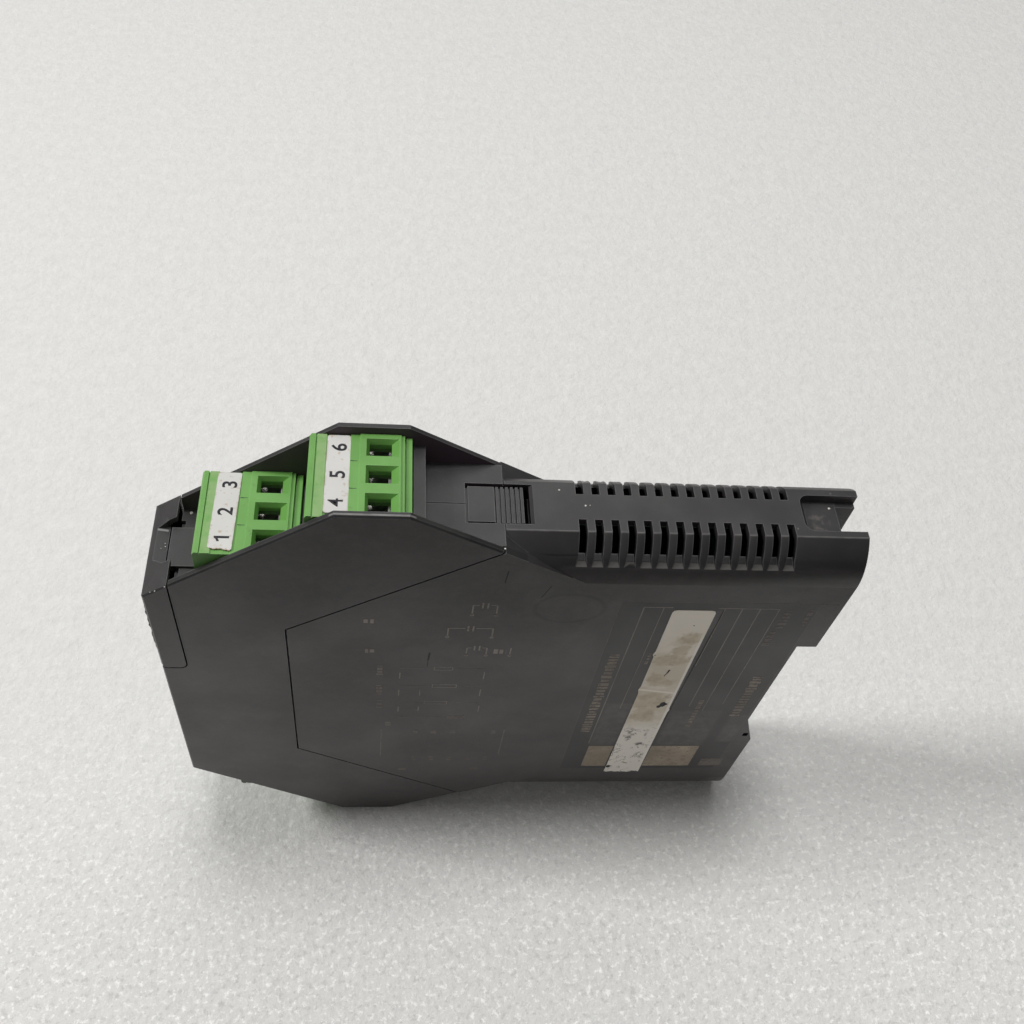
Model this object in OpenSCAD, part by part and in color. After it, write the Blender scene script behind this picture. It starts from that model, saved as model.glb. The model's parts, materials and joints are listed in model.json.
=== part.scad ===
// Slim rail-mounted signal transmitter with four pluggable terminal blocks.
// Millimetres. Modules are drawn about the housing's own centre: X runs from
// the front face to the rear end, Y from the near to the far side, Z upwards.
// place() then stands the whole part on its lower flanges.

/* [Overall] */
// Width of the module along the rail
width = 17.5; // [17.5:0.1:17.8]
// Depth from the front face to the rear claws
depth = 112; // [112:0.5:113]
// Half height of the flat front face
front_half = 32.5; // [32:0.1:33]
// Half height over the terminal flanges
peak_half = 54.7; // [54.5:0.1:55.5]
// Half height of the rear body
body_half = 46.8; // [46.6:0.1:47]
// Where the flanges reach full height
peak_start = 29.3; // [29:0.1:29.6]
// Where the flanges start to slope down again
peak_end = 40; // [39.5:0.1:40.5]
// Where the rear slope runs out into the side face
slope_end = 68.7; // [68:0.1:70]
// Half height at the end of the rear slope
slope_end_half = 38.2; // [38:0.1:38.5]

/* [Shell] */
// Thickness of the side walls
side_wall = 1.05; // [1:0.01:1.1]
// Thickness of the top and bottom walls
roof_wall = 1.4; // [1.2:0.1:1.5]
// Gap at the seam between the two housings
seam_gap = 0.3; // [0.2:0.05:0.35]
// Where the two housings meet on top
split_x = 54.5; // [54.5:0.1:54.8]
// Front edge of the rear housing's side tongues
tongue_x = 21.3; // [21:0.1:22]
// Half height of that front edge
tongue_half = 23; // [22.5:0.1:23.5]
// Radius of the rear body's rounded shoulders
shoulder_r = 10.2; // [10.2:0.1:10.3]
// Height of the shoulders' centres
shoulder_z = 38.6; // [38.5:0.1:38.7]

/* [Terminals] */
// Distance between two poles
pitch = 5.08; // [5.08:0.01:5.1]
// Depth of one plug
plug_depth = 15.25; // [15.2:0.01:15.25]
// Width of one plug
plug_width = 15.24; // [15.2:0.01:15.3]
// Height of one plug up to its number strip
plug_height = 18.2; // [18:0.1:18.3]
// Front face of the front plug
front_plug_x = 8.55; // [8.5:0.01:8.6]
// Front face of the rear plug
rear_plug_x = 25.1; // [25.1:0.01:25.15]
// Floor under the front plug
front_well_floor = 25.1; // [25:0.1:25.3]
// Floor under the rear plug
rear_well_floor = 34.9; // [34.8:0.1:35]

/* [Vents] */
// Vent slots along each shoulder
vent_count = 14; // [10:1:14]
// Distance between two vent slots
vent_pitch = 2.54; // [2.5:0.01:2.57]
// Width of a vent slot
vent_width = 1.25; // [1.1:0.05:1.4]
// Front edge of the first vent slot
vent_start = 65.85; // [65.8:0.05:66]

/* [Rail] */
// Floor of the rail recess
rail_floor = 108.5; // [108.3:0.1:108.7]
// Lower edge of the upper claw
upper_claw = 19.4; // [19.2:0.1:19.6]
// Upper end of the slope on the lower claw
slope_top = -9.9; // [-10.2:0.1:-9.7]
// Lower end of the slope on the lower claw
lower_claw = -18.9; // [-19:0.1:-18.7]
// Travel of the rail foot when it is pulled open
foot_travel = 3.5; // [3:0.1:3.5]

/* [Front flap] */
// Lower edge of the hinged flap
flap_bottom = 10; // [10:0.1:10.2]
// Depth of the flap's side cheeks
flap_depth = 4.1; // [4:0.05:4.15]
// Radius of the rounded corners and of the hinge knuckles
flap_round = 1.2; // [1.2:0.01:1.25]
// Radius of the hinge pins
hinge_pin_r = 0.65; // [0.6:0.01:0.66]

/* [Hidden] */
$fn = 48;

half_w = width / 2;
inner_w = half_w - side_wall;
sleeve_w = inner_w - side_wall;
roof_inner = body_half - roof_wall;

front_slope = (peak_half - front_half) / peak_start;
rear_slope = (peak_half - slope_end_half) / (slope_end - peak_end);
split_half = peak_half - rear_slope * (split_x - peak_end);
seam_slope = (split_half - tongue_half) / (split_x - tongue_x);
seam_stretch = sqrt(1 + seam_slope * seam_slope);

// Wells for the plugs, the wall between them and the post behind them
front_well = [8.3, 23.95];
rear_well = [24.95, 40.6];
divider_top = 41;
post_end = 42.4;
post_top = 50.8;
cavity_post = 41.8;
front_wall = 1.3;
sleeve_end = 50;

// Thickness of the inner walls, a length past the whole part, and a small overlap
wall = 1.2;
far = 80;
past = 1;
edge_bevel = 0.3;

// Seat of the flap, and the raised plate and the pockets behind it
seat_x = flap_depth + 0.25;
seat_wall = seat_x + 1.25;
ledge_z = flap_bottom - seam_gap;
plate_z = 33.5;
plate_half = 3.65;
plate_front = 3.2;
plate_t = 1.4;
step_z = 32.9;
pocket = [[seat_x - past, 3.65, 32], [5.05, 5.4, 80]];
pivot_x = flap_round;
pivot_z = flap_bottom + flap_round;
ear = [6.45, 7.5];
knuckle_r = 1.1;
pin_play = 0.05;

// Light pipe, programming socket and the shallow field on the front face
light_z = 3;
light_r = 1.5;
socket_hole = [14.4, 22.6];
socket_far = 3.6;
front_field = [[-1, -6.4, -26], [0.1, 6.4, -4]];

// Snap latch in the top and bottom faces
latch_start = 48.6;
latch_end = 57.7;
latch_window = [-3.55, 3.95];
latch_window_end = 58.6;
latch_edge = [-3.3, 3.5];
latch_drop = 0.2;
latch_bevel = 0.5;
rib_start = 53.1;
rib_count = 6;
rib_height = 0.45;
nose_end = 60.2;

// Rail end of the rear housing
rear_wall_x = rail_floor - 1.4;
lower_claw_x = depth - 0.3;
notch_half = 2.55;
notch_top_half = 3.45;
notch_step_z = 44.9;
pocket_start = 102;
pocket_floor = 45;
hook_top = 27;
hook_lip_x = 110;
hook_z = 16.5;
foot_hook_z = -16.2;
foot_half = 2.4;
foot_ledge = [-34.5, -33];
foot_end = -43;
foot_window = [foot_ledge[0] - 1 - foot_travel, -23];
foot_plate_x = [rail_floor + 0.25, rail_floor + 1.9];
spring_r = 1.05;
spring_wire = 0.22;
spring_turns = 7;
spring_x = rail_floor + 1.45;
spring_sides = 8;
spring_steps = 12;

// Labels: the printed film on the near side, the paper sticker in it, and the label on the flap
label_box = [[74.6, -33.4], [107.9, 33.4]];
label_t = 0.1;
sticker = [7.4, 64.2];
sticker_corner = [84.1, -33.2];
sticker_turn = 0.6;
flap_label_z = [15, 31];
flap_label_half = 6.4;

// Inside a plug, measured from its front face and from the floor of its well
block_top = plug_height + 0.25;
strip_x = [2.6, 6.1];
strip_drop = 0.3;
screw_z = 13.2;
shank_r = 1.25;
clamp_x = [6.5, 12.6];
clamp_z = [10.7, 15.7];
clamp_half = 2;
throat_z = block_top - 1.1;
room_top = throat_z - 0.25;

// Printed circuit boards
board_t = 1.6;
board_y = -5.55;
board_face = board_y + board_t;
board_half = 37.2;
power_y = 3.4;
header_h = 2.4;
header_gap = header_h + wall;
header_half_x = 3;
pin_x = 9.5;
pin_half = 0.5;
pin_hole = 0.8;
board_rear = 106.2;

// Transformer
core_size = [16, 20];
core_start = [72, -10];
core_yoke = 3;
core_leg = 4.5;
core_y = [board_face + 1.5, power_y - 1.5];

module place() {
    translate([-depth / 2, 0, peak_half]) children();
}

module both_levels() {
    children();
    mirror([0, 0, 1]) children();
}

module both_sides() {
    children();
    mirror([0, 1, 0]) children();
}

// Box between two corners
module block(low, high) {
    translate(low) cube(high - low);
}

// Outline in X and Z, thick from y0 to y1
module slab(points, y0, y1) {
    translate([0, y1, 0]) rotate([90, 0, 0]) linear_extrude(y1 - y0) polygon(points);
}

// Outline in Y and Z, long from x0 to x1
module bar(points, x0, x1) {
    translate([x0, 0, 0]) rotate([90, 0, 90]) linear_extrude(x1 - x0) polygon(points);
}

function below(points) = [for (i = [len(points) - 1:-1:0]) [points[i][0], -points[i][1]]];
function seam_z(x) = tongue_half + (x - tongue_x) * seam_slope;
function slope_z(x) = front_half + x * front_slope;

// Half of the side tongue's outline, grown by g for the seam gap
function tongue_edge(g) = [
    [tongue_x - g, seam_z(tongue_x - g) + g * seam_stretch],
    [split_x + g, seam_z(split_x + g) + g * seam_stretch]
];

// Cuts the far side's outer edges along a line of points, drawn so that outside is on its left
module bevel_edges(points) {
    over = 0.5;
    reach = 0.2;
    for (i = [0:len(points) - 2]) {
        step = points[i + 1] - points[i];
        translate([points[i][0], 0, points[i][1]]) rotate([0, -atan2(step[1], step[0]), 0])
            bar([[half_w - edge_bevel - over, over], [half_w + over, -edge_bevel - over],
                 [half_w + over, over]], -reach, norm(step) + reach);
    }
}

// Front housing

octagon_edge = [
    [0, front_half], [peak_start, peak_half], [peak_end, peak_half], [split_x, split_half]
];

core_top = [
    [0, 0], [0, ledge_z], [seat_x, ledge_z], [seat_x, plate_z], [front_well[0], plate_z]
];
core_bottom = [
    [0, 0], [0, front_half], [(plate_z - front_half) / front_slope, plate_z],
    [front_well[0], plate_z]
];
core_wells = [
    [front_well[0], front_well_floor], [front_well[1], front_well_floor],
    [front_well[1], divider_top], [rear_well[0], divider_top],
    [rear_well[0], rear_well_floor], [rear_well[1], rear_well_floor],
    [rear_well[1], post_top], [post_end, post_top], [post_end, body_half],
    [split_x, body_half], [split_x, 0]
];

// Outline of the space for the boards
cavity_z = 30;
cavity_divider = rear_well[0] + 0.2;
cavity_top = [
    [front_wall, 0], [front_wall, ledge_z - wall], [seat_wall, ledge_z - wall],
    [seat_wall, cavity_z], [front_well[0] - wall, cavity_z]
];
cavity_bottom = [
    [front_wall, 0], [front_wall, cavity_z], [front_well[0] - wall, cavity_z]
];
cavity_wells = [
    [front_well[0] - wall, front_well_floor - wall],
    [cavity_divider, front_well_floor - wall], [cavity_divider, rear_well_floor - wall],
    [cavity_post, rear_well_floor - wall],
    [cavity_post, roof_inner], [split_x + past, roof_inner], [split_x + past, 0]
];

// Space for the flap's cheek, with a rounded lower corner
module flap_space() {
    r = flap_round + seam_gap;
    block([-past, 0, ledge_z], [seat_x - r, width, far]);
    block([-past, 0, ledge_z + r], [seat_x, width, far]);
    translate([seat_x - r, 0, ledge_z + r]) rotate([-90, 0, 0]) cylinder(r = r, h = width);
}

module side_plates() {
    both_sides() difference() {
        slab(concat(octagon_edge, below(octagon_edge)), inner_w, half_w);
        slab(concat(tongue_edge(seam_gap), below(tongue_edge(seam_gap))), 0, width);
        flap_space();
        bevel_edges(concat(below(octagon_edge), octagon_edge));
    }
}

module core() {
    difference() {
        union() {
            slab(concat(core_top, core_wells), -inner_w, inner_w);
            slab(below(concat(core_bottom, core_wells)), -inner_w, inner_w);
        }
        slab(concat(cavity_top, cavity_wells), -sleeve_w, sleeve_w);
        slab(below(concat(cavity_bottom, cavity_wells)), -sleeve_w, sleeve_w);
        block([sleeve_end, -inner_w, -roof_inner], [split_x + past, inner_w, roof_inner]);
        both_levels() both_sides()
            block([seat_x - past, plate_half, step_z], [front_well[0], half_w, far]);
        both_sides() block(pocket[0], pocket[1]);
    }
}

// Square holes for the contact pins, the openings behind the flap, and the roof's seam
module core_openings() {
    pin_hole_low = front_well_floor - 3;
    seam_half = 0.08;
    seam_floor = body_half - 0.12;
    both_levels() for (x = [front_plug_x, rear_plug_x]) for (p = [-1:1])
        block([x + pin_x - pin_hole, p * pitch - pin_hole, pin_hole_low],
              [x + pin_x + pin_hole, p * pitch + pin_hole, rear_well_floor + past]);
    block([seat_x - past, board_face, socket_hole[0]], [seat_wall + past, socket_far, socket_hole[1]]);
    translate([-past, 0, light_z]) rotate([0, 90, 0]) cylinder(r = light_r + 0.05, h = 4);
    block(front_field[0], front_field[1]);
    both_levels() block([post_end, -seam_half, seam_floor], [latch_start + past, seam_half, far]);
}

module hinge_ears() {
    overlap = 0.5;
    both_sides() difference() {
        union() {
            block([pivot_x, ear[0], ledge_z - wall], [seat_x + overlap, ear[1], pivot_z + knuckle_r]);
            translate([pivot_x, ear[0], pivot_z]) rotate([-90, 0, 0])
                cylinder(r = knuckle_r, h = ear[1] - ear[0]);
        }
        translate([pivot_x, ear[0] - past, pivot_z]) rotate([-90, 0, 0])
            cylinder(r = hinge_pin_r + pin_play, h = ear[1]);
    }
}

// Front edge of the raised plate, which the flap's finger notch closes against
module catch_plate() {
    block([plate_front, -plate_half, plate_z - plate_t], [seat_x + past, plate_half, plate_z]);
}

// Sprung tongue with grip ribs, moulded in one with the front housing. Its nose
// reaches in under the rear housing's roof.
module latch_tongue() {
    pad_z = body_half - latch_drop;
    rib_base = pad_z - rib_height;
    rib = (latch_end - rib_start) / rib_count;
    groove = 0.4;
    pad_inset = 0.15;
    nose = [roof_inner - 2.6, roof_inner - 1.7];
    nose_root = latch_end - 1;
    lip = [nose_end - 0.7, roof_inner - 0.9];
    difference() {
        union() {
            block([latch_start - groove, latch_edge[0] + pad_inset, roof_inner],
                  [rib_start, latch_edge[1], pad_z]);
            block([rib_start, latch_edge[0], roof_inner], [latch_end, latch_edge[1], rib_base]);
            for (x = [rib_start:rib:latch_end - rib / 2])
                slab([[x + rib * 0.2, rib_base], [x + rib * 0.3, pad_z], [x + rib * 0.85, pad_z],
                      [x + rib * 0.95, rib_base]], latch_edge[0], latch_edge[1]);
            block([nose_root, latch_edge[0], nose[0]], [latch_end, latch_edge[1], roof_inner]);
            block([nose_root, latch_edge[0], nose[0]], [nose_end, latch_edge[1], nose[1]]);
            block([lip[0], latch_edge[0], nose[0]], [nose_end, latch_edge[1], lip[1]]);
        }
        block([latch_start, latch_window[0], rib_base], [latch_start + groove, latch_window[1], far]);
    }
}

module front_housing() {
    color([0.2, 0.2, 0.21]) place() {
        difference() {
            union() {
                side_plates();
                core();
                catch_plate();
            }
            core_openings();
            both_levels() block([latch_start, latch_window[0], roof_inner - past],
                                [split_x + past, latch_window[1], far]);
        }
        both_levels() latch_tongue();
        hinge_ears();
    }
}

// Rear housing

// Cross section of the rear body, set in by t at the sides and by r at the roof
module rear_section(t, r) {
    intersection() {
        square([2 * (half_w - t), 2 * (body_half - r)], center = true);
        union() {
            square([2 * (half_w - t), 2 * shoulder_z], center = true);
            for (z = [-shoulder_z, shoulder_z]) intersection() {
                translate([shoulder_r - half_w, z]) circle(r = shoulder_r - t, $fn = 96);
                translate([half_w - shoulder_r, z]) circle(r = shoulder_r - t, $fn = 96);
            }
        }
    }
}

module rear_body(t, r, x0, x1) {
    translate([x0, 0, 0]) rotate([90, 0, 90]) linear_extrude(x1 - x0) rear_section(t, r);
}

module side_tongues() {
    both_sides()
        slab(concat(tongue_edge(0), below(tongue_edge(0))), inner_w, half_w);
}

module slope_body() {
    edge = [[split_x, split_half], [slope_end, slope_end_half]];
    slab(concat(edge, below(edge)), -half_w, half_w);
}

// Vent slot through the roof and the shoulder, with a flared ramp at its lower end
module vent_slot() {
    inner = 2.4;
    throat = [6.2, 43.5];
    knee = [7.3, 42.95];
    mouth = [half_w + 0.3, 41.32];
    flare = 0.65;
    bar([[inner, far], [inner, shoulder_z], [throat[0], shoulder_z], throat, knee, mouth,
         [mouth[0], far]], 0, vent_width);
    intersection() {
        bar([[throat[0], far], throat, knee, mouth, [mouth[0], far]], -past, vent_width + past);
        linear_extrude(throat[1]) polygon([
            [0, knee[0]], [-flare, mouth[0]], [vent_width + flare, mouth[0]], [vent_width, knee[0]]]);
    }
}

module vents() {
    both_levels() both_sides() for (i = [0:vent_count - 1])
        translate([vent_start + i * vent_pitch, 0, 0]) vent_slot();
}

// Recess for the rail, cut free behind the hook's lip
module rail_recess() {
    relief = 0.4;
    relief_half = notch_half + 0.2;
    slab([[rail_floor, upper_claw], [depth + past, upper_claw], [depth + past, -far],
          [lower_claw_x, -far], [lower_claw_x, lower_claw], [rail_floor, slope_top]], -far, far);
    block([rail_floor - relief, -relief_half, hook_z - 0.2], [depth, relief_half, upper_claw]);
}

// Thicker roof under the finger pockets
module pocket_bottoms() {
    both_levels() block([pocket_start - past, -notch_top_half - past, pocket_floor - wall],
                        [rail_floor, notch_top_half + past, body_half - 0.2]);
}

// Small slot in each lower claw, beside the rail foot's hook
module claw_slots() {
    slot_x = [109.4, 110.5];
    slot_z = [-17.4, -16];
    both_sides() block([slot_x[0], half_w - past, slot_z[0]], [slot_x[1], width, slot_z[1]]);
}

// Open slot between the claws, with the shallow finger pocket before it
module claw_notch() {
    pocket_r = 1.6;
    pocket_slope = 1.2;
    start = rail_floor + 0.1;
    corner = pocket_start + pocket_r;
    block([start, -notch_half, hook_top], [depth + past, notch_half, far]);
    block([start, -notch_half, -far], [depth + past, notch_half, slope_top]);
    both_levels() {
        block([start, -notch_top_half, notch_step_z], [depth + past, notch_top_half, far]);
        intersection() {
            slab([[pocket_start, body_half], [pocket_start + pocket_slope, pocket_floor],
                  [start + 0.1, pocket_floor], [start + 0.1, far], [pocket_start, far]],
                 -notch_top_half, notch_top_half);
            union() {
                block([corner, -notch_top_half, 0], [depth, notch_top_half, far]);
                block([pocket_start, pocket_r - notch_top_half, 0],
                      [depth, notch_top_half - pocket_r, far]);
                both_sides() translate([corner, notch_top_half - pocket_r, 0])
                    cylinder(r = pocket_r, h = far);
            }
        }
    }
}

// Grooves that guide the rail foot's side ribs
module foot_grooves() {
    groove_x = [rail_floor + 0.5, rail_floor + 1.6];
    groove_half = 3.15;
    block([groove_x[0], -groove_half, -far], [groove_x[1], groove_half, slope_top]);
}

// Fixed hook over the rail's upper flange, and the ledge that the foot's spring stands on
module rail_hook_and_ledge() {
    ledge_half = 1.45;
    hook_rear = depth - 0.4;
    slab([[hook_lip_x, upper_claw + past], [hook_lip_x, hook_z + 0.5], [hook_lip_x + 0.5, hook_z],
          [hook_rear - 0.4, hook_z], [hook_rear, hook_z + 0.7], [hook_rear, upper_claw + past]],
         -notch_half, notch_half);
    block([rail_floor - past, -ledge_half, foot_ledge[0]], [depth - 1, ledge_half, foot_ledge[1]]);
}

// Ribs inside the near wall that carry the main board
module board_guides() {
    guide_x = 60;
    guide_z = [34, 35.5];
    both_levels() block([guide_x, -inner_w - past / 2, guide_z[0]], [board_rear, board_y, guide_z[1]]);
}

// Opening for the latch in the roof, with a sloped rear edge
module latch_opening() {
    top = latch_window_end + latch_bevel;
    slab([[split_x - past, shoulder_z], [latch_window_end, shoulder_z],
          [latch_window_end, body_half - latch_bevel], [top + past, body_half + past],
          [split_x - past, body_half + past]], latch_window[0], latch_window[1]);
}

module rear_shell() {
    difference() {
        union() {
            rear_body(0, 0, split_x + seam_gap / 2, depth);
            slope_body();
            side_tongues();
        }
        rear_body(side_wall, roof_wall, split_x - 1, rear_wall_x);
    }
}

module rear_housing() {
    color([0.2, 0.2, 0.21]) place() {
        difference() {
            union() {
                rear_shell();
                pocket_bottoms();
            }
            both_levels() latch_opening();
            vents();
            rail_recess();
            claw_notch();
            foot_grooves();
            claw_slots();
            block([label_box[0][0], -half_w - past, label_box[0][1]],
                  [label_box[1][0], -half_w + label_t, label_box[1][1]]);
        }
        rail_hook_and_ledge();
        board_guides();
    }
}

// Front flap

scoop = [[0.95, slope_z(0.95)], [2.85, 32.8]];
scoop_front = [-2.4, 3.6];
scoop_rear = [-3.8, 4.25];

// Thin shell, thicker under the finger notch
module flap_shell() {
    front_t = 1.2;
    top_t = 1.2;
    notch_t = 1;
    edge = [[0, flap_bottom], [0, front_half], [flap_depth, slope_z(flap_depth)],
            [flap_depth, flap_bottom]];
    inside = [[front_t, 0], [front_t, slope_z(front_t) - top_t],
              [far, slope_z(front_t) - top_t + (far - front_t) * front_slope], [far, 0]];
    difference() {
        slab(edge, -half_w, half_w);
        difference() {
            slab(inside, -inner_w, inner_w);
            block([0, scoop_rear[0] - notch_t, scoop[1][1] - notch_t],
                  [scoop[1][0], scoop_rear[1] + notch_t, far]);
        }
    }
}

// Rounds the flap's lower corners about the hinge and at the back of the cheeks
module flap_corner_cut() {
    rear = flap_depth - flap_round;
    difference() {
        block([-past, -width, flap_bottom - past], [far, width, pivot_z]);
        for (x = [pivot_x, rear])
            translate([x, -width - past, pivot_z]) rotate([-90, 0, 0]) cylinder(r = flap_round, h = far);
        block([pivot_x, -width - past, flap_bottom], [rear, width + past, pivot_z]);
    }
}

// Scoop for a fingertip, wider and open at the back where the raised plate lies
module finger_notch() {
    intersection() {
        slab([[scoop[0][0], far], scoop[0], scoop[1], [far, scoop[1][1]], [far, far]],
             scoop_rear[0], scoop_rear[1]);
        linear_extrude(far) polygon([
            [scoop[0][0], scoop_front[0]], [scoop[1][0], scoop_rear[0]], [far, scoop_rear[0]],
            [far, scoop_rear[1]], [scoop[1][0], scoop_rear[1]], [scoop[0][0], scoop_front[1]]]);
    }
}

module flap_label_box(grow) {
    block([-grow, -flap_label_half, flap_label_z[0]], [label_t, flap_label_half, flap_label_z[1]]);
}

module front_flap() {
    ear_room = 13;
    gap = 0.2;
    color([0.2, 0.2, 0.21]) place() {
        difference() {
            flap_shell();
            flap_corner_cut();
            finger_notch();
            flap_label_box(past);
            both_sides() bevel_edges(concat([[0, 0]], octagon_edge));
            both_sides() block([-past, ear[0] - gap, 0], [far, inner_w, ear_room]);
        }
        both_sides() translate([pivot_x, ear[0] + gap / 2, pivot_z]) rotate([-90, 0, 0])
            cylinder(r = hinge_pin_r, h = inner_w - ear[0] - gap / 2);
    }
}

module flap_label() {
    color([0.75, 0.74, 0.7]) place() flap_label_box(0);
}

// Labels on the near side

module sticker_box(grow) {
    translate([sticker_corner[0], -half_w - grow, sticker_corner[1]]) rotate([0, sticker_turn, 0])
        cube([sticker[0], label_t + 2 * grow, sticker[1]]);
}

module rating_label() {
    color([0.17, 0.17, 0.18]) place() difference() {
        block([label_box[0][0], -half_w, label_box[0][1]],
              [label_box[1][0], -half_w + label_t, label_box[1][1]]);
        sticker_box(past);
    }
}

module side_sticker() {
    color([0.8, 0.77, 0.7]) place() sticker_box(0);
}

// Rail foot and its spring

module rail_foot() {
    rib_half = 3.05;
    rib_x = [rail_floor + 0.6, rail_floor + 1.5];
    rib_top = lower_claw - 3;
    window_half = 1.75;
    rear = depth - 0.5;
    tip_z = -13.6;
    color([0.14, 0.14, 0.15]) place() difference() {
        union() {
            block([foot_plate_x[0], -foot_half, foot_end], [foot_plate_x[1], foot_half, foot_hook_z]);
            block([rib_x[0], -rib_half, foot_end], [rib_x[1], rib_half, rib_top]);
            slab([[foot_plate_x[1], foot_hook_z - 5.3], [foot_plate_x[1] - 0.2, foot_hook_z],
                  [hook_lip_x, tip_z - 0.6], [hook_lip_x + 0.3, tip_z], [rear - 0.4, tip_z - 1.2],
                  [rear, foot_hook_z - 0.8], [rear, foot_hook_z - 3.8]], -foot_half, foot_half);
        }
        block([0, -window_half, foot_window[0]], [depth, window_half, foot_window[1]]);
    }
}

// Point on the tube around the helix: i counts along the wire, s around it
function helix_point(i, s) =
    let (a = i * 360 / spring_steps,
         w = s * 360 / spring_sides,
         low = foot_ledge[1] + spring_wire,
         high = foot_window[1] - spring_wire,
         rise = (high - low) / (spring_turns * spring_steps))
    [(spring_r + spring_wire * cos(w)) * cos(a),
     (spring_r + spring_wire * cos(w)) * sin(a),
     low + i * rise + spring_wire * sin(w)];

module foot_spring() {
    rings = spring_turns * spring_steps;
    points = [for (i = [0:rings]) for (s = [0:spring_sides - 1]) helix_point(i, s)];
    skin = [for (i = [0:rings - 1]) for (s = [0:spring_sides - 1])
        let (t = (s + 1) % spring_sides)
        [i * spring_sides + s, i * spring_sides + t,
         (i + 1) * spring_sides + t, (i + 1) * spring_sides + s]];
    first = [for (s = [spring_sides - 1:-1:0]) s];
    last = [for (s = [0:spring_sides - 1]) rings * spring_sides + s];
    color([0.75, 0.75, 0.76]) place() translate([spring_x, 0, 0])
        polyhedron(points, concat([first], skin, [last]));
}

// Terminal plugs: 1 and 2 on top, 3 and 4 below, each with its poles along Y

function plug_x(n) = n % 2 == 1 ? front_plug_x : rear_plug_x;
function well_floor(n) = n % 2 == 1 ? front_well_floor : rear_well_floor;

module in_well(n) {
    if (n > 2) mirror([0, 0, 1]) translate([plug_x(n), 0, well_floor(n)]) children();
    else translate([plug_x(n), 0, well_floor(n)]) children();
}

module each_pole() {
    for (p = [-1:1]) translate([0, p * pitch, 0]) children();
}

// Outline of a plug with its two thin grooves, the strip's seat and the raised funnel block
groove = [[1, 1.15], [14.15, 14.35]];
groove_floor = [17.8, 16.9];
funnel_block = [7.5, 13.6];
rear_strip_z = plug_height - 0.5;
worn_z = plug_height - 0.1;
front_chamfer = [0.35, 0.5];
plug_profile = [
    [0, 0], [plug_depth, 0], [plug_depth, rear_strip_z], [groove[1][1], rear_strip_z],
    [groove[1][1], groove_floor[1]], [groove[1][0], groove_floor[1]], [groove[1][0], plug_height],
    [funnel_block[1], plug_height], [funnel_block[1], block_top], [funnel_block[0], block_top],
    [funnel_block[0], plug_height], [strip_x[1], plug_height],
    [strip_x[1], plug_height - strip_drop], [strip_x[0], plug_height - strip_drop],
    [strip_x[0], worn_z], [groove[0][1], worn_z], [groove[0][1], groove_floor[0]],
    [groove[0][0], groove_floor[0]], [groove[0][0], plug_height],
    [front_chamfer[0], plug_height], [0, plug_height - front_chamfer[1]]
];

// Funnel that leads a wire down to its clamp
module wire_funnel() {
    rim = [8.45, 13.3];
    throat = [8.9, 12.2];
    rim_half = 1.65;
    throat_half = 1.45;
    intersection() {
        slab([[throat[0], throat_z], [throat[1], throat_z], [rim[1], block_top],
              [rim[1], far], [rim[0], far], [rim[0], block_top]], -pitch, pitch);
        bar([[-throat_half, throat_z], [throat_half, throat_z], [rim_half, block_top],
             [rim_half, far], [-rim_half, far], [-rim_half, block_top]], 0, far);
    }
    block([throat[0], -throat_half, room_top - past], [throat[1], throat_half, throat_z + 0.1]);
}

// Room for one pole's clamp, with the wire's funnel, the screwdriver's hole and the pin's socket
module pole_room() {
    room_floor = 3;
    screw_room_r = 1.95;
    wire_funnel();
    block([clamp_x[0], -clamp_half, room_floor], [clamp_x[1], clamp_half, room_top]);
    translate([-past, 0, screw_z]) rotate([0, 90, 0]) cylinder(r = screw_room_r, h = clamp_x[0] + past);
    block([pin_x - pin_hole, -pin_hole, -past], [pin_x + pin_hole, pin_hole, room_floor + past]);
}

module plug_body(n) {
    color([0.42, 0.72, 0.34]) place() in_well(n) difference() {
        slab(plug_profile, -plug_width / 2, plug_width / 2);
        each_pole() pole_room();
    }
}

module marker_strip(n) {
    strip_t = 0.25;
    strip_half = 6.95;
    color([0.9, 0.89, 0.86]) place() in_well(n)
        block([strip_x[0] + 0.05, -strip_half, plug_height - strip_drop],
              [strip_x[1] - 0.05, strip_half, plug_height - strip_drop + strip_t]);
}

// Metal cages that the screws press onto the wires
module wire_clamps(n) {
    wire_x = [8.3, 11.8];
    wire_half = 1.4;
    color([0.78, 0.78, 0.76]) place() in_well(n) each_pole() difference() {
        block([clamp_x[0], -clamp_half, clamp_z[0]], [clamp_x[1], clamp_half, clamp_z[1]]);
        block([wire_x[0], -wire_half, 0], [wire_x[1], wire_half, far]);
        translate([clamp_x[0] - past, 0, screw_z]) rotate([0, 90, 0])
            cylinder(r = shank_r, h = wire_x[0] - clamp_x[0] + 2 * past);
    }
}

module clamp_screw(i) {
    n = ceil(i / 3);
    pole = (i - 1) % 3 - 1;
    head_r = 1.75;
    head = [4.2, 6.2];
    tip = 9.4;
    slot = [0.5, 0.9];
    color([0.8, 0.8, 0.78]) place() in_well(n) translate([0, pole * pitch, screw_z]) difference() {
        union() {
            translate([head[0], 0, 0]) rotate([0, 90, 0]) cylinder(r = head_r, h = head[1] - head[0]);
            translate([head[0] + 1, 0, 0]) rotate([0, 90, 0]) cylinder(r = shank_r, h = tip - head[0] - 1);
        }
        block([head[0] - past, -slot[0] / 2, -head_r - past],
              [head[0] + slot[1], slot[0] / 2, head_r + past]);
    }
}

module pin_header(n) {
    header_half_y = 6.6;
    color([0.15, 0.15, 0.15]) place() in_well(n) difference() {
        block([pin_x - header_half_x, -header_half_y, -header_gap],
              [pin_x + header_half_x, header_half_y, -wall]);
        each_pole() block([pin_x - pin_half, -pin_half, -far], [pin_x + pin_half, pin_half, 0]);
    }
}

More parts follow.
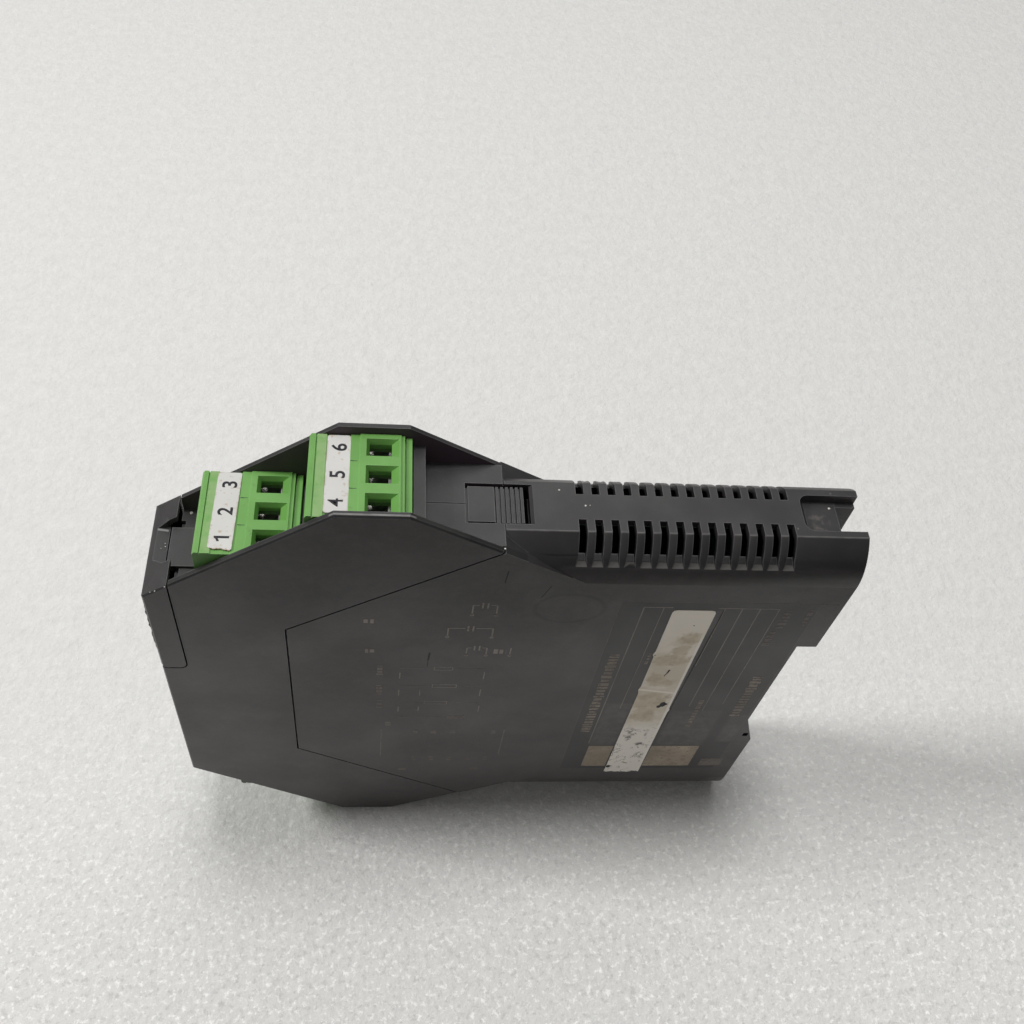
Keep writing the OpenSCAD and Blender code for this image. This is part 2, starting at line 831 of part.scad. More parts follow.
module contact_pins(n) {
    pin_top = 8;
    color([0.85, 0.83, 0.75]) place() in_well(n) each_pole()
        block([pin_x - pin_half, -pin_half, -header_gap], [pin_x + pin_half, pin_half, pin_top]);
}

// Circuit boards and what is on them

// Outline of the main board, stepped around the wells
front_step = front_well_floor - header_gap;
rear_step = rear_well_floor - header_gap;
main_edge = [
    [6.2, front_step], [25.5, front_step], [25.5, rear_step], [42.2, rear_step],
    [42.2, board_half], [board_rear, board_half]
];

module main_board() {
    color([0.1, 0.35, 0.2]) place() slab(concat(main_edge, below(main_edge)), board_y, board_face);
}

module power_board() {
    power_start = 44;
    color([0.1, 0.35, 0.2]) place()
        block([power_start, power_y, -board_half], [board_rear, power_y + board_t, board_half]);
}

module board_link() {
    color([0.15, 0.15, 0.15]) place() block([62, board_face, -20], [64.5, power_y, -8]);
}

module controller_chip() {
    color([0.12, 0.12, 0.13]) place() block([50, board_face, -6], [60, board_face + 1.4, 4]);
}

module isolator(z) {
    color([0.14, 0.14, 0.15]) place() block([60, board_face, z], [69, board_face + 3.5, z + 8]);
}

window_low = [core_start[0] + core_yoke, core_start[1] + core_yoke];
window_high = core_start + core_size - [core_yoke, core_yoke];
leg_middle = (window_low[0] + window_high[0]) / 2;
leg_x = [leg_middle - core_leg / 2, leg_middle + core_leg / 2];

module transformer_core() {
    high = core_start + core_size;
    color([0.25, 0.25, 0.27]) place() difference() {
        block([core_start[0], core_y[0], core_start[1]], [high[0], core_y[1], high[1]]);
        block([window_low[0], core_y[0] - 1, window_low[1]], [leg_x[0], core_y[1] + 1, window_high[1]]);
        block([leg_x[1], core_y[0] - 1, window_low[1]], [window_high[0], core_y[1] + 1, window_high[1]]);
    }
}

// Copper coil around the middle leg
module transformer_winding() {
    color([0.7, 0.42, 0.2]) place() difference() {
        block([window_low[0], board_face, window_low[1]], [window_high[0], power_y, window_high[1]]);
        block([leg_x[0], core_y[0], window_low[1] - 1], [leg_x[1], core_y[1], window_high[1] + 1]);
    }
}

module capacitor(z) {
    can_r = 3.2;
    can_h = 13;
    color([0.2, 0.22, 0.3]) place() translate([96, board_face + can_r, z]) cylinder(r = can_r, h = can_h);
}

module light_pipe() {
    flange_r = 2.2;
    color([0.85, 0.85, 0.8]) place() translate([0, 0, light_z]) rotate([0, 90, 0]) {
        translate([0, 0, 0.05]) cylinder(r = light_r, h = 7.95);
        translate([0, 0, front_wall]) cylinder(r = flange_r, h = 0.8);
    }
}

module power_led() {
    color([0.5, 0.8, 0.5]) place() block([8, board_face, light_z - 1.5], [11, 1.2, light_z + 1.5]);
}

module program_socket() {
    shell = [4.8, 12];
    color([0.12, 0.12, 0.12]) place() difference() {
        block([shell[0], board_face, 14.6], [shell[1], 3.5, 22.4]);
        block([shell[0] - 1, board_face + 1, 15.6], [shell[1] - 2, 2.5, 21.4]);
    }
}

front_housing();
rear_housing();
front_flap();
flap_label();
rating_label();
side_sticker();
rail_foot();
foot_spring();
light_pipe();
program_socket();
main_board();
power_board();
board_link();
controller_chip();
isolator(14);  // isolator_1
isolator(26);  // isolator_2
transformer_core();
transformer_winding();
capacitor(14);  // capacitor_1
capacitor(-28);  // capacitor_2
power_led();
for (n = [1:4]) {
    plug_body(n);
    marker_strip(n);
    wire_clamps(n);
    pin_header(n);
    contact_pins(n);
}
for (i = [1:12]) {
    clamp_screw(i);
}
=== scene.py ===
"""Looks of the slim signal transmitter: camera, light, materials, print, labels and terminal numbers."""

import json
import math
import random

import bmesh
import bpy
from mathutils import Matrix, Vector
from mathutils import noise as mnoise


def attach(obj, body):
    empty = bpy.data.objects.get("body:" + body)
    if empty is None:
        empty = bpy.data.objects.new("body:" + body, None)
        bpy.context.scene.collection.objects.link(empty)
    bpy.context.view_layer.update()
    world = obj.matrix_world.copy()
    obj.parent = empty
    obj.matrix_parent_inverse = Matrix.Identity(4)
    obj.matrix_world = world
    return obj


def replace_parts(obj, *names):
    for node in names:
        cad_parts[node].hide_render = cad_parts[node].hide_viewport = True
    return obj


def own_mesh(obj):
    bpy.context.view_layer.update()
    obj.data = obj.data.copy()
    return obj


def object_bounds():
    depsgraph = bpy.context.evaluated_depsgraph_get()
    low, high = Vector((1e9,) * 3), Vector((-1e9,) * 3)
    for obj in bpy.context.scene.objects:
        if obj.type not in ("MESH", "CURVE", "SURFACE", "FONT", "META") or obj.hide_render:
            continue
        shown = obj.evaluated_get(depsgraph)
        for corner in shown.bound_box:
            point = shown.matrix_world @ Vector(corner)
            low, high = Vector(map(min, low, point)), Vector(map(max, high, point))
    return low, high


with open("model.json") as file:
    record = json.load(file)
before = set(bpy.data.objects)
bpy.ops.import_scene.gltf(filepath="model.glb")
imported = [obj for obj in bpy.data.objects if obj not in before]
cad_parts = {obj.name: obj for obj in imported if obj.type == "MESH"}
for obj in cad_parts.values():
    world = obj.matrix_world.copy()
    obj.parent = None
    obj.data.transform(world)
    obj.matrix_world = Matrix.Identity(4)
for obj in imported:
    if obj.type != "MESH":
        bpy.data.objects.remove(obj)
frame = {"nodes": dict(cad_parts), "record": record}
cad_low, cad_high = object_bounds()

MM = 0.001
FRONT_X = cad_low[0]
MID_Y = (cad_low[1] + cad_high[1]) / 2
MID_Z = (cad_low[2] + cad_high[2]) / 2
HALF_W = (cad_high[1] - cad_low[1]) / 2 / MM
HOUSING = "housing"
FLAP = "flap"


def at(x, y, z):
    """A point of the module in mm: x behind the front face, y off the middle plane, z above mid-height."""
    return Vector((FRONT_X + x * MM, MID_Y + y * MM, MID_Z + z * MM))


# Camera

CAMERA_PLACE = at(35.45, -97.6, 177.8)
CAMERA_AIM = at(55.96, 0, 44.93)
CAMERA_ROLL = math.radians(11.03)
CAMERA_LENS = 37.905
SENSOR = 36


def make_camera():
    data = bpy.data.cameras.new("camera")
    data.sensor_width = SENSOR
    data.lens = CAMERA_LENS
    data.clip_start = 0.001
    camera = bpy.data.objects.new("camera", data)
    bpy.context.scene.collection.objects.link(camera)
    forward = (CAMERA_AIM - CAMERA_PLACE).normalized()
    level = forward.cross(Vector((0, 0, 1))).normalized()
    lift = level.cross(forward)
    right = level * math.cos(CAMERA_ROLL) + lift * math.sin(CAMERA_ROLL)
    up = lift * math.cos(CAMERA_ROLL) - level * math.sin(CAMERA_ROLL)
    turn = Matrix((right, up, -forward)).transposed().to_4x4()
    camera.matrix_world = Matrix.Translation(CAMERA_PLACE) @ turn
    bpy.context.scene.camera = camera


# Floor and light

REST_FRONT = (40.0, -54.7)
REST_REAR = (111.7, -46.8)
FLOOR_SIZE = 8.0
FLOOR_EDGE = (0.060, 0.088)
FLOOR_DARK = (0.595, 0.59, 0.58)
FLOOR_PALE = (0.755, 0.75, 0.735)
FLOOR_GLINT = (0.97, 0.965, 0.95)
FLOOR_PORE = (0.48, 0.475, 0.465)
ROOM_DARK = (0.05, 0.05, 0.05)
WORLD_FILL = 0.175
BACKDROP = (0.60, 0.59, 0.565)
FILL_COLOUR = (1.0, 0.99, 0.97)
LAMP_COLOUR = (1.0, 0.995, 0.985)


def floor_turn():
    """The floor touches the lower flanges and the rear corner, as the module stands in the photograph."""
    rise = REST_REAR[1] - REST_FRONT[1]
    run = REST_REAR[0] - REST_FRONT[0]
    return Matrix.Rotation(-math.atan2(rise, run), 4, "Y")


def make_floor():
    """Pale, grainy floor. What lies further out on the near side reflects as a dark room."""
    bpy.ops.mesh.primitive_plane_add(size=FLOOR_SIZE)
    floor = bpy.context.object
    floor.name = "floor"
    floor.matrix_world = Matrix.Translation(at(REST_FRONT[0], 0, REST_FRONT[1])) @ floor_turn()
    paint = Paint("floor", roughness=0.8, specular=0.15)
    tone = paint.colour(FLOOR_DARK, FLOOR_PALE, paint.noise(240, 6, 0.7, distortion=0.3))
    closer = paint.steps(paint.axis("Y"), 0.05, -0.05, 0.12, 1.0)
    glints = paint.steps(paint.noise(760, 5, 0.72), 0.51, 0.66)
    pores = paint.steps(paint.noise(680, 5, 0.72), 0.49, 0.34)
    tone = paint.colour(tone, FLOOR_GLINT, paint.times(glints, closer, 0.75))
    tone = paint.colour(tone, FLOOR_PORE, paint.times(pores, closer, 0.6))
    rays = paint.node("ShaderNodeLightPath").outputs["Is Glossy Ray"]
    beyond = paint.steps(paint.axis("Y"), -FLOOR_EDGE[0], -FLOOR_EDGE[1])
    tone = paint.colour(tone, ROOM_DARK, paint.times(beyond, rays))
    paint.bump(paint.noise(420, 4, 0.6), 0.0011, 0.5)
    floor.data.materials.append(paint.set(tone))


def area_light(name, place, aim, size, power, colour=(1, 1, 1)):
    data = bpy.data.lights.new(name, "AREA")
    data.shape = "SQUARE"
    data.size = size
    data.energy = power
    data.color = colour
    light = bpy.data.objects.new(name, data)
    light.location = place
    light.rotation_euler = (Vector(aim) - Vector(place)).to_track_quat("-Z", "Y").to_euler()
    bpy.context.scene.collection.objects.link(light)


def make_world():
    world = bpy.data.worlds.new("studio")
    world.use_nodes = True
    tree = world.node_tree
    tree.nodes.clear()
    output = tree.nodes.new("ShaderNodeOutputWorld")
    mix = tree.nodes.new("ShaderNodeMixShader")
    path = tree.nodes.new("ShaderNodeLightPath")
    seen = tree.nodes.new("ShaderNodeBackground")
    fill = tree.nodes.new("ShaderNodeBackground")
    seen.inputs["Color"].default_value = (*BACKDROP, 1)
    fill.inputs["Color"].default_value = (*FILL_COLOUR, 1)
    fill.inputs["Strength"].default_value = WORLD_FILL
    tree.links.new(path.outputs["Is Camera Ray"], mix.inputs["Fac"])
    tree.links.new(fill.outputs["Background"], mix.inputs[1])
    tree.links.new(seen.outputs["Background"], mix.inputs[2])
    tree.links.new(mix.outputs["Shader"], output.inputs["Surface"])
    bpy.context.scene.world = world


def make_studio():
    """Lights from the left and from above, with a wide soft one behind."""
    bpy.context.scene.view_settings.view_transform = "Standard"
    make_world()
    middle = at(56, 0, 0)
    area_light("left_key", middle + Vector((-1.05, 0.13, 0.88)), middle, 0.28, 11.0, LAMP_COLOUR)
    area_light("overhead", middle + Vector((-0.05, 0.15, 1.2)), middle, 0.26, 6.1, LAMP_COLOUR)
    area_light("far_soft", middle + Vector((0.05, 0.68, 1.15)), middle, 1.0, 3.0)


# Node materials

class Paint:
    """A node material in the making: a Principled shader with helpers for noise, masks and bump."""

    def __init__(self, name, roughness=0.5, metallic=0.0, specular=0.5):
        self.material = bpy.data.materials.new(name)
        self.material.use_nodes = True
        self.tree = self.material.node_tree
        self.shader = self.tree.nodes["Principled BSDF"]
        self.shader.inputs["Roughness"].default_value = roughness
        self.shader.inputs["Metallic"].default_value = metallic
        self.shader.inputs["Specular IOR Level"].default_value = specular
        self.place = self.node("ShaderNodeTexCoord").outputs["Object"]

    def node(self, kind, **settings):
        made = self.tree.nodes.new(kind)
        for key, value in settings.items():
            setattr(made, key, value)
        return made

    def link(self, source, target):
        self.tree.links.new(source, target)

    def stretched(self, stretch):
        if stretch is None:
            return self.place
        mapping = self.node("ShaderNodeMapping")
        mapping.inputs["Scale"].default_value = stretch
        self.link(self.place, mapping.inputs["Vector"])
        return mapping.outputs["Vector"]

    def noise(self, scale, detail=3.0, rough=0.5, stretch=None, distortion=0.0):
        """Noise between 0 and 1; scale is in cycles per metre."""
        made = self.node("ShaderNodeTexNoise")
        made.inputs["Scale"].default_value = scale
        made.inputs["Detail"].default_value = detail
        made.inputs["Roughness"].default_value = rough
        made.inputs["Distortion"].default_value = distortion
        self.link(self.stretched(stretch), made.inputs["Vector"])
        return made.outputs["Fac"]

    def cells(self, scale, stretch=None):
        made = self.node("ShaderNodeTexVoronoi")
        made.inputs["Scale"].default_value = scale
        self.link(self.stretched(stretch), made.inputs["Vector"])
        return made.outputs["Distance"]

    def steps(self, value, low, high, out_low=0.0, out_high=1.0):
        """value from low..high becomes out_low..out_high, smoothly and held at both ends."""
        made = self.node("ShaderNodeMapRange", interpolation_type="SMOOTHSTEP")
        turned = low > high
        made.inputs["From Min"].default_value = high if turned else low
        made.inputs["From Max"].default_value = low if turned else high
        made.inputs["To Min"].default_value = out_high if turned else out_low
        made.inputs["To Max"].default_value = out_low if turned else out_high
        self.link(value, made.inputs["Value"])
        return made.outputs["Result"]

    def math(self, operation, a, b=None):
        made = self.node("ShaderNodeMath", operation=operation)
        for slot, value in zip(made.inputs, (a, b)):
            if value is None:
                continue
            if isinstance(value, (int, float)):
                slot.default_value = value
            else:
                self.link(value, slot)
        return made.outputs["Value"]

    def times(self, *values):
        product = values[0]
        for value in values[1:]:
            product = self.math("MULTIPLY", product, value)
        return product

    def colour(self, a, b, factor):
        """Mix of two colours; each is a tuple or a socket."""
        made = self.node("ShaderNodeMix", data_type="RGBA")
        for slot, value in (("A", a), ("B", b)):
            socket = next(s for s in made.inputs if s.name == slot and s.type == "RGBA")
            if isinstance(value, tuple):
                socket.default_value = (*value, 1)
            else:
                self.link(value, socket)
        if isinstance(factor, (int, float)):
            made.inputs["Factor"].default_value = factor
        else:
            self.link(factor, made.inputs["Factor"])
        return next(s for s in made.outputs if s.type == "RGBA")

    def facing(self, axis, low=0.2, high=0.9):
        """1 on faces that look along the axis, 0 on the others."""
        split = self.node("ShaderNodeSeparateXYZ")
        self.link(self.node("ShaderNodeNewGeometry").outputs["Normal"], split.inputs["Vector"])
        return self.steps(split.outputs[axis], low, high)

    def axis(self, name):
        """One object coordinate, in metres."""
        split = self.node("ShaderNodeSeparateXYZ")
        self.link(self.place, split.inputs["Vector"])
        return split.outputs[name]

    def band(self, name, low, high, soft):
        """1 where the coordinate lies between low and high."""
        value = self.axis(name)
        rise = self.steps(value, low - soft, low + soft)
        fall = self.steps(value, high + soft, high - soft)
        return self.times(rise, fall)

    def edges(self, radius, full=0.8):
        """About 1 along edges within radius, 0 on flats."""
        bevel = self.node("ShaderNodeBevel", samples=6)
        bevel.inputs["Radius"].default_value = radius
        dot = self.node("ShaderNodeVectorMath", operation="DOT_PRODUCT")
        self.link(bevel.outputs["Normal"], dot.inputs[0])
        self.link(self.node("ShaderNodeNewGeometry").outputs["Normal"], dot.inputs[1])
        return self.steps(dot.outputs["Value"], 0.995, full)

    def reach(self, middle, half):
        """Distance from a point of the X-Z plane, 1 on the ellipse with these half sizes in millimetres."""
        away = self.node("ShaderNodeVectorMath", operation="SUBTRACT")
        self.link(self.place, away.inputs[0])
        away.inputs[1].default_value = at(middle[0], 0, middle[1])
        shrunk = self.node("ShaderNodeVectorMath", operation="MULTIPLY")
        self.link(away.outputs["Vector"], shrunk.inputs[0])
        shrunk.inputs[1].default_value = (1 / (half[0] * MM), 0, 1 / (half[1] * MM))
        length = self.node("ShaderNodeVectorMath", operation="LENGTH")
        self.link(shrunk.outputs["Vector"], length.inputs[0])
        return length.outputs["Value"]

    def patch(self, middle, half, uneven, soft):
        """1 inside an uneven patch of the X-Z plane."""
        return self.steps(self.math("ADD", self.reach(middle, half), uneven), 1.0, 1.0 - soft)

    def within(self, x=None, y=None, z=None, soft=0.00008):
        """1 between limits of the module's millimetres on the axes given."""
        sides = (("X", FRONT_X, x), ("Y", MID_Y, y), ("Z", MID_Z, z))
        masks = [self.band(name, start + limits[0] * MM, start + limits[1] * MM, soft)
                 for name, start, limits in sides if limits]
        return self.times(*masks)

    def any_of(self, masks):
        """The highest of the masks."""
        whole = masks[0]
        for mask in masks[1:]:
            whole = self.math("MAXIMUM", whole, mask)
        return whole

    def bump(self, height, distance, strength=1.0):
        made = self.node("ShaderNodeBump")
        made.inputs["Distance"].default_value = distance
        made.inputs["Strength"].default_value = strength
        self.link(height, made.inputs["Height"])
        self.link(made.outputs["Normal"], self.shader.inputs["Normal"])

    def set(self, tone, roughness=None):
        """Links the finished sockets and gives the material."""
        self.link(tone, self.shader.inputs["Base Color"])
        if roughness is not None:
            self.link(roughness, self.shader.inputs["Roughness"])
        return self.material


def scaled(colour, factor, lift=0.0):
    return tuple(c * factor + lift for c in colour)


HOUSING_TONE = (0.0190, 0.0174, 0.0182)
NEAR_DUST = (0.090, 0.081, 0.082)
NEAR_MOTTLE = (0.105, 0.090, 0.082)
RUB_RING = ((66.5, 31), (5.6, 4.2))
RUB_RING_TONE = (0.012, 0.011, 0.011)
SEAM_REAR = {"x": (4.05, 4.6), "z": (11.2, 33.6)}
SEAM_FOOT = {"x": (-0.1, 2.9), "z": (9.58, 10)}
SEAM_CORNER = {"x": (2.9, 4.8), "z": (9.3, 11.2)}
SEAM_BEND = (2.9, 11.2)
SEAM_SHADE_TONE = (0.007, 0.0065, 0.0065)
WELL_WALL = {"x": (4, 56), "y": (3, 8.2)}
WELL_WALL_PAINTED_LIGHT = (0.100, 0.074, 0.092)
PLATE_TOPS = {"x": (4.3, 58), "y": (-8.7, -7.5), "z": (34, 56)}
PLATE_TOPS_SHADE_TONE = (0.0085, 0.008, 0.0078)
VENT_LIPS = {"x": (65.7, 101), "z": (41.2, 42.85)}
VENT_LIPS_HIGHLIGHT_TONE = (0.115, 0.112, 0.105)
VENT_EDGE = {"x": (65.7, 101), "z": (42.9, 43.5)}
VENT_EDGE_SHADE_TONE = (0.008, 0.008, 0.008)
POCKET_FLOOR = {"x": (103, 107), "y": (-2.4, 0.9), "z": (44.8, 45.2), "soft": 0.0004}
POCKET_RUB_TONE = (0.12, 0.105, 0.098)
EAR_SHINE = {"x": (0.95, 2.6), "y": (3.22, 3.6), "z": (32.4, 35.2)}
EAR_SHINE_TONE = (0.30, 0.295, 0.29)
ROOF_CREASE = {"x": (54.6, 112), "y": (-4.74, -4.52), "z": (46.5, 47.2)}
ROOF_CREASE_HIGHLIGHT_TONE = (0.165, 0.162, 0.158)
CREST = {"y": (-8.42, -8.12), "z": (54.2, 55.2)}
CREST_HIGHLIGHT_TONE = (0.20, 0.198, 0.192)
SHOULDER_BLEND = {"x": (58.2, 65.6), "y": (-8.9, -5), "z": (38, 46.2)}
LATCH_GAP = {"x": (57.74, 58.62), "y": (-3.6, 4), "z": (42.2, 44.9)}
LATCH_GAP_SHADE_TONE = (0.001, 0.001, 0.001)
EDGE_WEAR_AND_HIGHLIGHT_TONE = (0.105, 0.102, 0.104)
TOP_HAZE_TONE = (0.13, 0.13, 0.125)
TOP_SPECK_TONE = (0.34, 0.33, 0.31)


def near_side_dust_and_painted_shading(paint, tone, near):
    """Dust, a soft rub ring, painted shade along the flap's seam, and a paler purplish tint painted on the
    far wall of the wells to offset the green light the plugs throw on it.
    """
    clouds = paint.noise(70, 5, 0.62, stretch=(0.7, 1, 1.2), distortion=0.4)
    tone = paint.colour(tone, NEAR_DUST, paint.times(near, paint.steps(clouds, 0.32, 0.68, 0.18, 0.40)))
    mottle = paint.steps(paint.noise(650, 5, 0.72), 0.42, 0.66)
    tone = paint.colour(tone, NEAR_MOTTLE, paint.times(near, mottle, 0.14))
    reach = paint.math("ADD", paint.reach(*RUB_RING), paint.times(paint.noise(160, 2), 0.12))
    ring = paint.times(paint.steps(reach, 0.95, 1.05), paint.steps(reach, 1.19, 1.09), near)
    tone = paint.colour(tone, RUB_RING_TONE, paint.times(ring, 0.42))
    # Painted shade: dark bands along the flap's seam and round its bend stand in for the shadow in the gap.
    bend = paint.reach(SEAM_BEND, (1, 1))
    arc = paint.times(paint.steps(bend, 1.15, 1.3), paint.steps(bend, 1.75, 1.6))
    arc = paint.times(arc, paint.within(**SEAM_CORNER))
    seam = paint.any_of([paint.within(**SEAM_REAR), paint.within(**SEAM_FOOT), arc])
    tone = paint.colour(tone, SEAM_SHADE_TONE, paint.times(near, seam, 0.85))
    # Painted light: a paler purplish tint on the far wall of the wells offsets the green light thrown on it
    # by the plugs.
    wall = paint.times(near, paint.within(**WELL_WALL))
    return paint.colour(tone, WELL_WALL_PAINTED_LIGHT, paint.times(wall, 0.9))


def edge_rubs_and_painted_shading(paint, tone):
    """Painted highlights on the vent lips, the flap's ear, the roof crease and the crests, painted shade on
    the vent edges and the plate tops, and a rubbed pocket floor.
    """
    # Painted highlight: the upward faces of the vent lips are lighter, as where light falls on them.
    lips = paint.times(paint.facing("Z", 0.5, 0.62), paint.within(**VENT_LIPS))
    tone = paint.colour(tone, VENT_LIPS_HIGHLIGHT_TONE, paint.times(lips, 0.75))
    # Painted shade: the steeper upper part of the vent ramps is darker, as in shadow.
    edge = paint.times(paint.facing("Z", 0.7, 0.85), paint.within(**VENT_EDGE))
    tone = paint.colour(tone, VENT_EDGE_SHADE_TONE, paint.times(edge, 0.5))
    rubbed = paint.times(paint.within(**POCKET_FLOOR), paint.facing("Z"))
    rubbed = paint.times(rubbed, paint.steps(paint.noise(900, 5, 0.7), 0.45, 0.62), 0.6)
    tone = paint.colour(tone, POCKET_RUB_TONE, rubbed)
    # Painted highlight: a pale strip on the notch floor beside the flap's ear, where light catches the step.
    tone = paint.colour(tone, EAR_SHINE_TONE, paint.times(paint.within(**EAR_SHINE), 0.8))
    # Painted shade: the upward tops of the near plates are darker, standing in for the shading of their
    # rounded edge.
    tops = paint.times(paint.within(**PLATE_TOPS), paint.facing("Z", 0.3, 0.6))
    tone = paint.colour(tone, PLATE_TOPS_SHADE_TONE, paint.times(tops, 0.75))
    # Painted highlight: a bright broken line along the crease between the roof and the near shoulder.
    crease = paint.times(paint.within(**ROOF_CREASE), paint.noise(500, 3))
    tone = paint.colour(tone, ROOF_CREASE_HIGHLIGHT_TONE, crease)
    # Painted highlight: a bright line along the middle of the near plate's top edge.
    crest = paint.times(paint.within(**CREST), paint.facing("Z"))
    broken = paint.steps(paint.noise(300, 3), 0.3, 0.6, 0.5, 1)
    return paint.colour(tone, CREST_HIGHLIGHT_TONE, paint.times(crest, broken))


def moulded_black(name, base, dust_and_painted_shading=True):
    """Fine-grained black plastic: soft colour drift, lighter edges that are partly wear and partly painted
    highlight, and faint rubs; the dusty kind adds dust on top and painted highlights and shade.
    """
    paint = Paint(name, roughness=0.4, specular=0.5)
    drift = paint.steps(paint.noise(34, 4), 0.3, 0.7)
    tone = paint.colour(scaled(base, 0.84), scaled(base, 1.18), drift)
    grain = paint.noise(5200, 2, 0.6)
    tone = paint.colour(tone, scaled(base, 1.0, 0.014), paint.times(grain, 0.4))
    streaks = paint.noise(150, 4, 0.6, stretch=(0.25, 1, 1), distortion=0.6)
    rubs = paint.times(paint.steps(streaks, 0.60, 0.72), 0.16)
    tone = paint.colour(tone, scaled(base, 0.45), rubs)
    near = paint.facing("Y", -0.9, -0.97)
    if dust_and_painted_shading:
        tone = near_side_dust_and_painted_shading(paint, tone, near)
        tone = edge_rubs_and_painted_shading(paint, tone)
    # Lighter edges: partly wear, partly a painted highlight along the edges.
    broken = paint.steps(paint.noise(800, 3), 0.3, 0.6, 0.4, 0.85)
    worn = paint.times(paint.edges(0.00028, full=0.9), broken)
    worn = paint.times(worn, paint.math("SUBTRACT", 1.0, paint.within(**SHOULDER_BLEND)))
    tone = paint.colour(tone, EDGE_WEAR_AND_HIGHLIGHT_TONE, worn)
    if dust_and_painted_shading:
        top = paint.facing("Z")
        haze = paint.times(top, paint.steps(paint.noise(110, 5), 0.35, 0.75), 0.16)
        tone = paint.colour(tone, TOP_HAZE_TONE, haze)
        sparse = paint.steps(paint.noise(190, 2), 0.64, 0.70)
        specks = paint.times(paint.steps(paint.cells(520), 0.12, 0.07), sparse)
        tone = paint.colour(tone, TOP_SPECK_TONE, paint.times(specks, top, 0.5))
        # Painted shade: the recess of the latch gap is painted near black, as in deep shadow.
        gap = paint.within(**LATCH_GAP)
        tone = paint.colour(tone, LATCH_GAP_SHADE_TONE, gap)
        wall = paint.times(near, paint.within(**WELL_WALL), 0.7)
        sheen = paint.steps(paint.any_of([gap, wall]), 0, 1, 0.5, 0.0)
        paint.link(sheen, paint.shader.inputs["Specular IOR Level"])
    rough = paint.steps(paint.noise(60, 4), 0.3, 0.7, 0.34, 0.46)
    paint.bump(grain, 0.00004, 0.6)
    return paint.set(tone, rough)


GREEN_DEEP = (0.110, 0.282, 0.056)
GREEN_PALE = (0.142, 0.338, 0.078)
GREEN_RIDGE = (0.235, 0.37, 0.15)
GREEN_EDGE_HIGHLIGHT = (0.32, 0.62, 0.24)
GREEN_GRIME = (0.08, 0.15, 0.045)
GREEN_POCKET_LIT = (0.34, 0.66, 0.20)
GREEN_SHADE = (0.060, 0.150, 0.035)
CORNER_SHADE = (0.035, 0.036, 0.033)
LOWER_CORNER = {"x": (8, 10.6), "y": (-8, -6.6), "z": (-43.6, -41.2)}
RIDGE_STARTS = (9.75, 26.3)
RIDGE_WIDTH = 1.4


def moulded_green(name):
    """Green terminal plastic: a dull ridge on top, pocket walls painted paler as if lit, paler edges as a
    painted highlight, painted shade on the near end and on the lower plugs' near corner, grime.
    """
    paint = Paint(name, roughness=0.42, specular=0.45)
    tone = paint.colour(GREEN_DEEP, GREEN_PALE, paint.steps(paint.noise(120, 4), 0.3, 0.7))
    ridges = [(start, start + RIDGE_WIDTH) for start in RIDGE_STARTS]
    dull = paint.any_of([paint.within(x=ridge, soft=0.00006) for ridge in ridges])
    upper = paint.steps(paint.axis("Z"), MID_Z + 42.9 * MM, MID_Z + 43.0 * MM)
    broken = paint.steps(paint.noise(420, 4, 0.6), 0.25, 0.6)
    worn = paint.times(dull, upper, paint.facing("Z", 0.7, 0.9), broken)
    tone = paint.colour(tone, GREEN_RIDGE, paint.times(worn, 0.8))
    # Painted highlight: paler edges.
    tone = paint.colour(tone, GREEN_EDGE_HIGHLIGHT, paint.times(paint.edges(0.00018), 0.5))
    grime = paint.times(paint.steps(paint.noise(700, 4, 0.7), 0.60, 0.72), 0.3)
    tone = paint.colour(tone, GREEN_GRIME, grime)
    near = paint.facing("Y", -0.8, -0.95)
    # Painted light: the pocket walls that face the near side are paler, as where light falls on them.
    tone = paint.colour(tone, GREEN_POCKET_LIT, paint.times(near, paint.within(y=(-7, 7.2)), 0.85))
    tone = paint.colour(tone, GREEN_SHADE, paint.times(near, paint.within(y=(-8.6, -7.3)), 0.7))
    # Painted shade: the near lower corner of the lower plugs is darkened, as it sits in shadow by the floor.
    tone = paint.colour(tone, CORNER_SHADE, paint.times(paint.within(**LOWER_CORNER), 0.9))
    paint.bump(paint.noise(3500, 2), 0.00002, 0.4)
    rough = paint.steps(paint.noise(300, 3), 0.3, 0.7, 0.36, 0.5)
    return paint.set(tone, rough)


STRIP_DULL = (0.52, 0.515, 0.495)
STRIP_PALE = (0.61, 0.605, 0.585)
STRIP_STAIN = (0.40, 0.29, 0.19)
STRIP_GRIME = (0.33, 0.24, 0.16)


def printed_white(name):
    """Off-white strip with small stains and grimy edges."""
    paint = Paint(name, roughness=0.5, specular=0.35)
    tone = paint.colour(STRIP_DULL, STRIP_PALE, paint.noise(220, 4))
    stain = paint.steps(paint.noise(1000, 5, 0.65), 0.57, 0.68)
    tone = paint.colour(tone, STRIP_STAIN, paint.times(stain, 0.7))
    grimy = paint.times(paint.edges(0.00045), paint.steps(paint.noise(700, 4), 0.42, 0.62))
    tone = paint.colour(tone, STRIP_GRIME, paint.times(grimy, 0.8))
    paint.bump(paint.noise(2500, 3), 0.00002, 0.4)
    return paint.set(tone)


INK_BLACK = (0.012, 0.012, 0.016)
INK_WORN = (0.05, 0.05, 0.06)


def black_ink(name):
    paint = Paint(name, roughness=0.55, specular=0.3)
    worn = paint.steps(paint.noise(2600, 3), 0.45, 0.8)
    return paint.set(paint.colour(INK_BLACK, INK_WORN, worn))


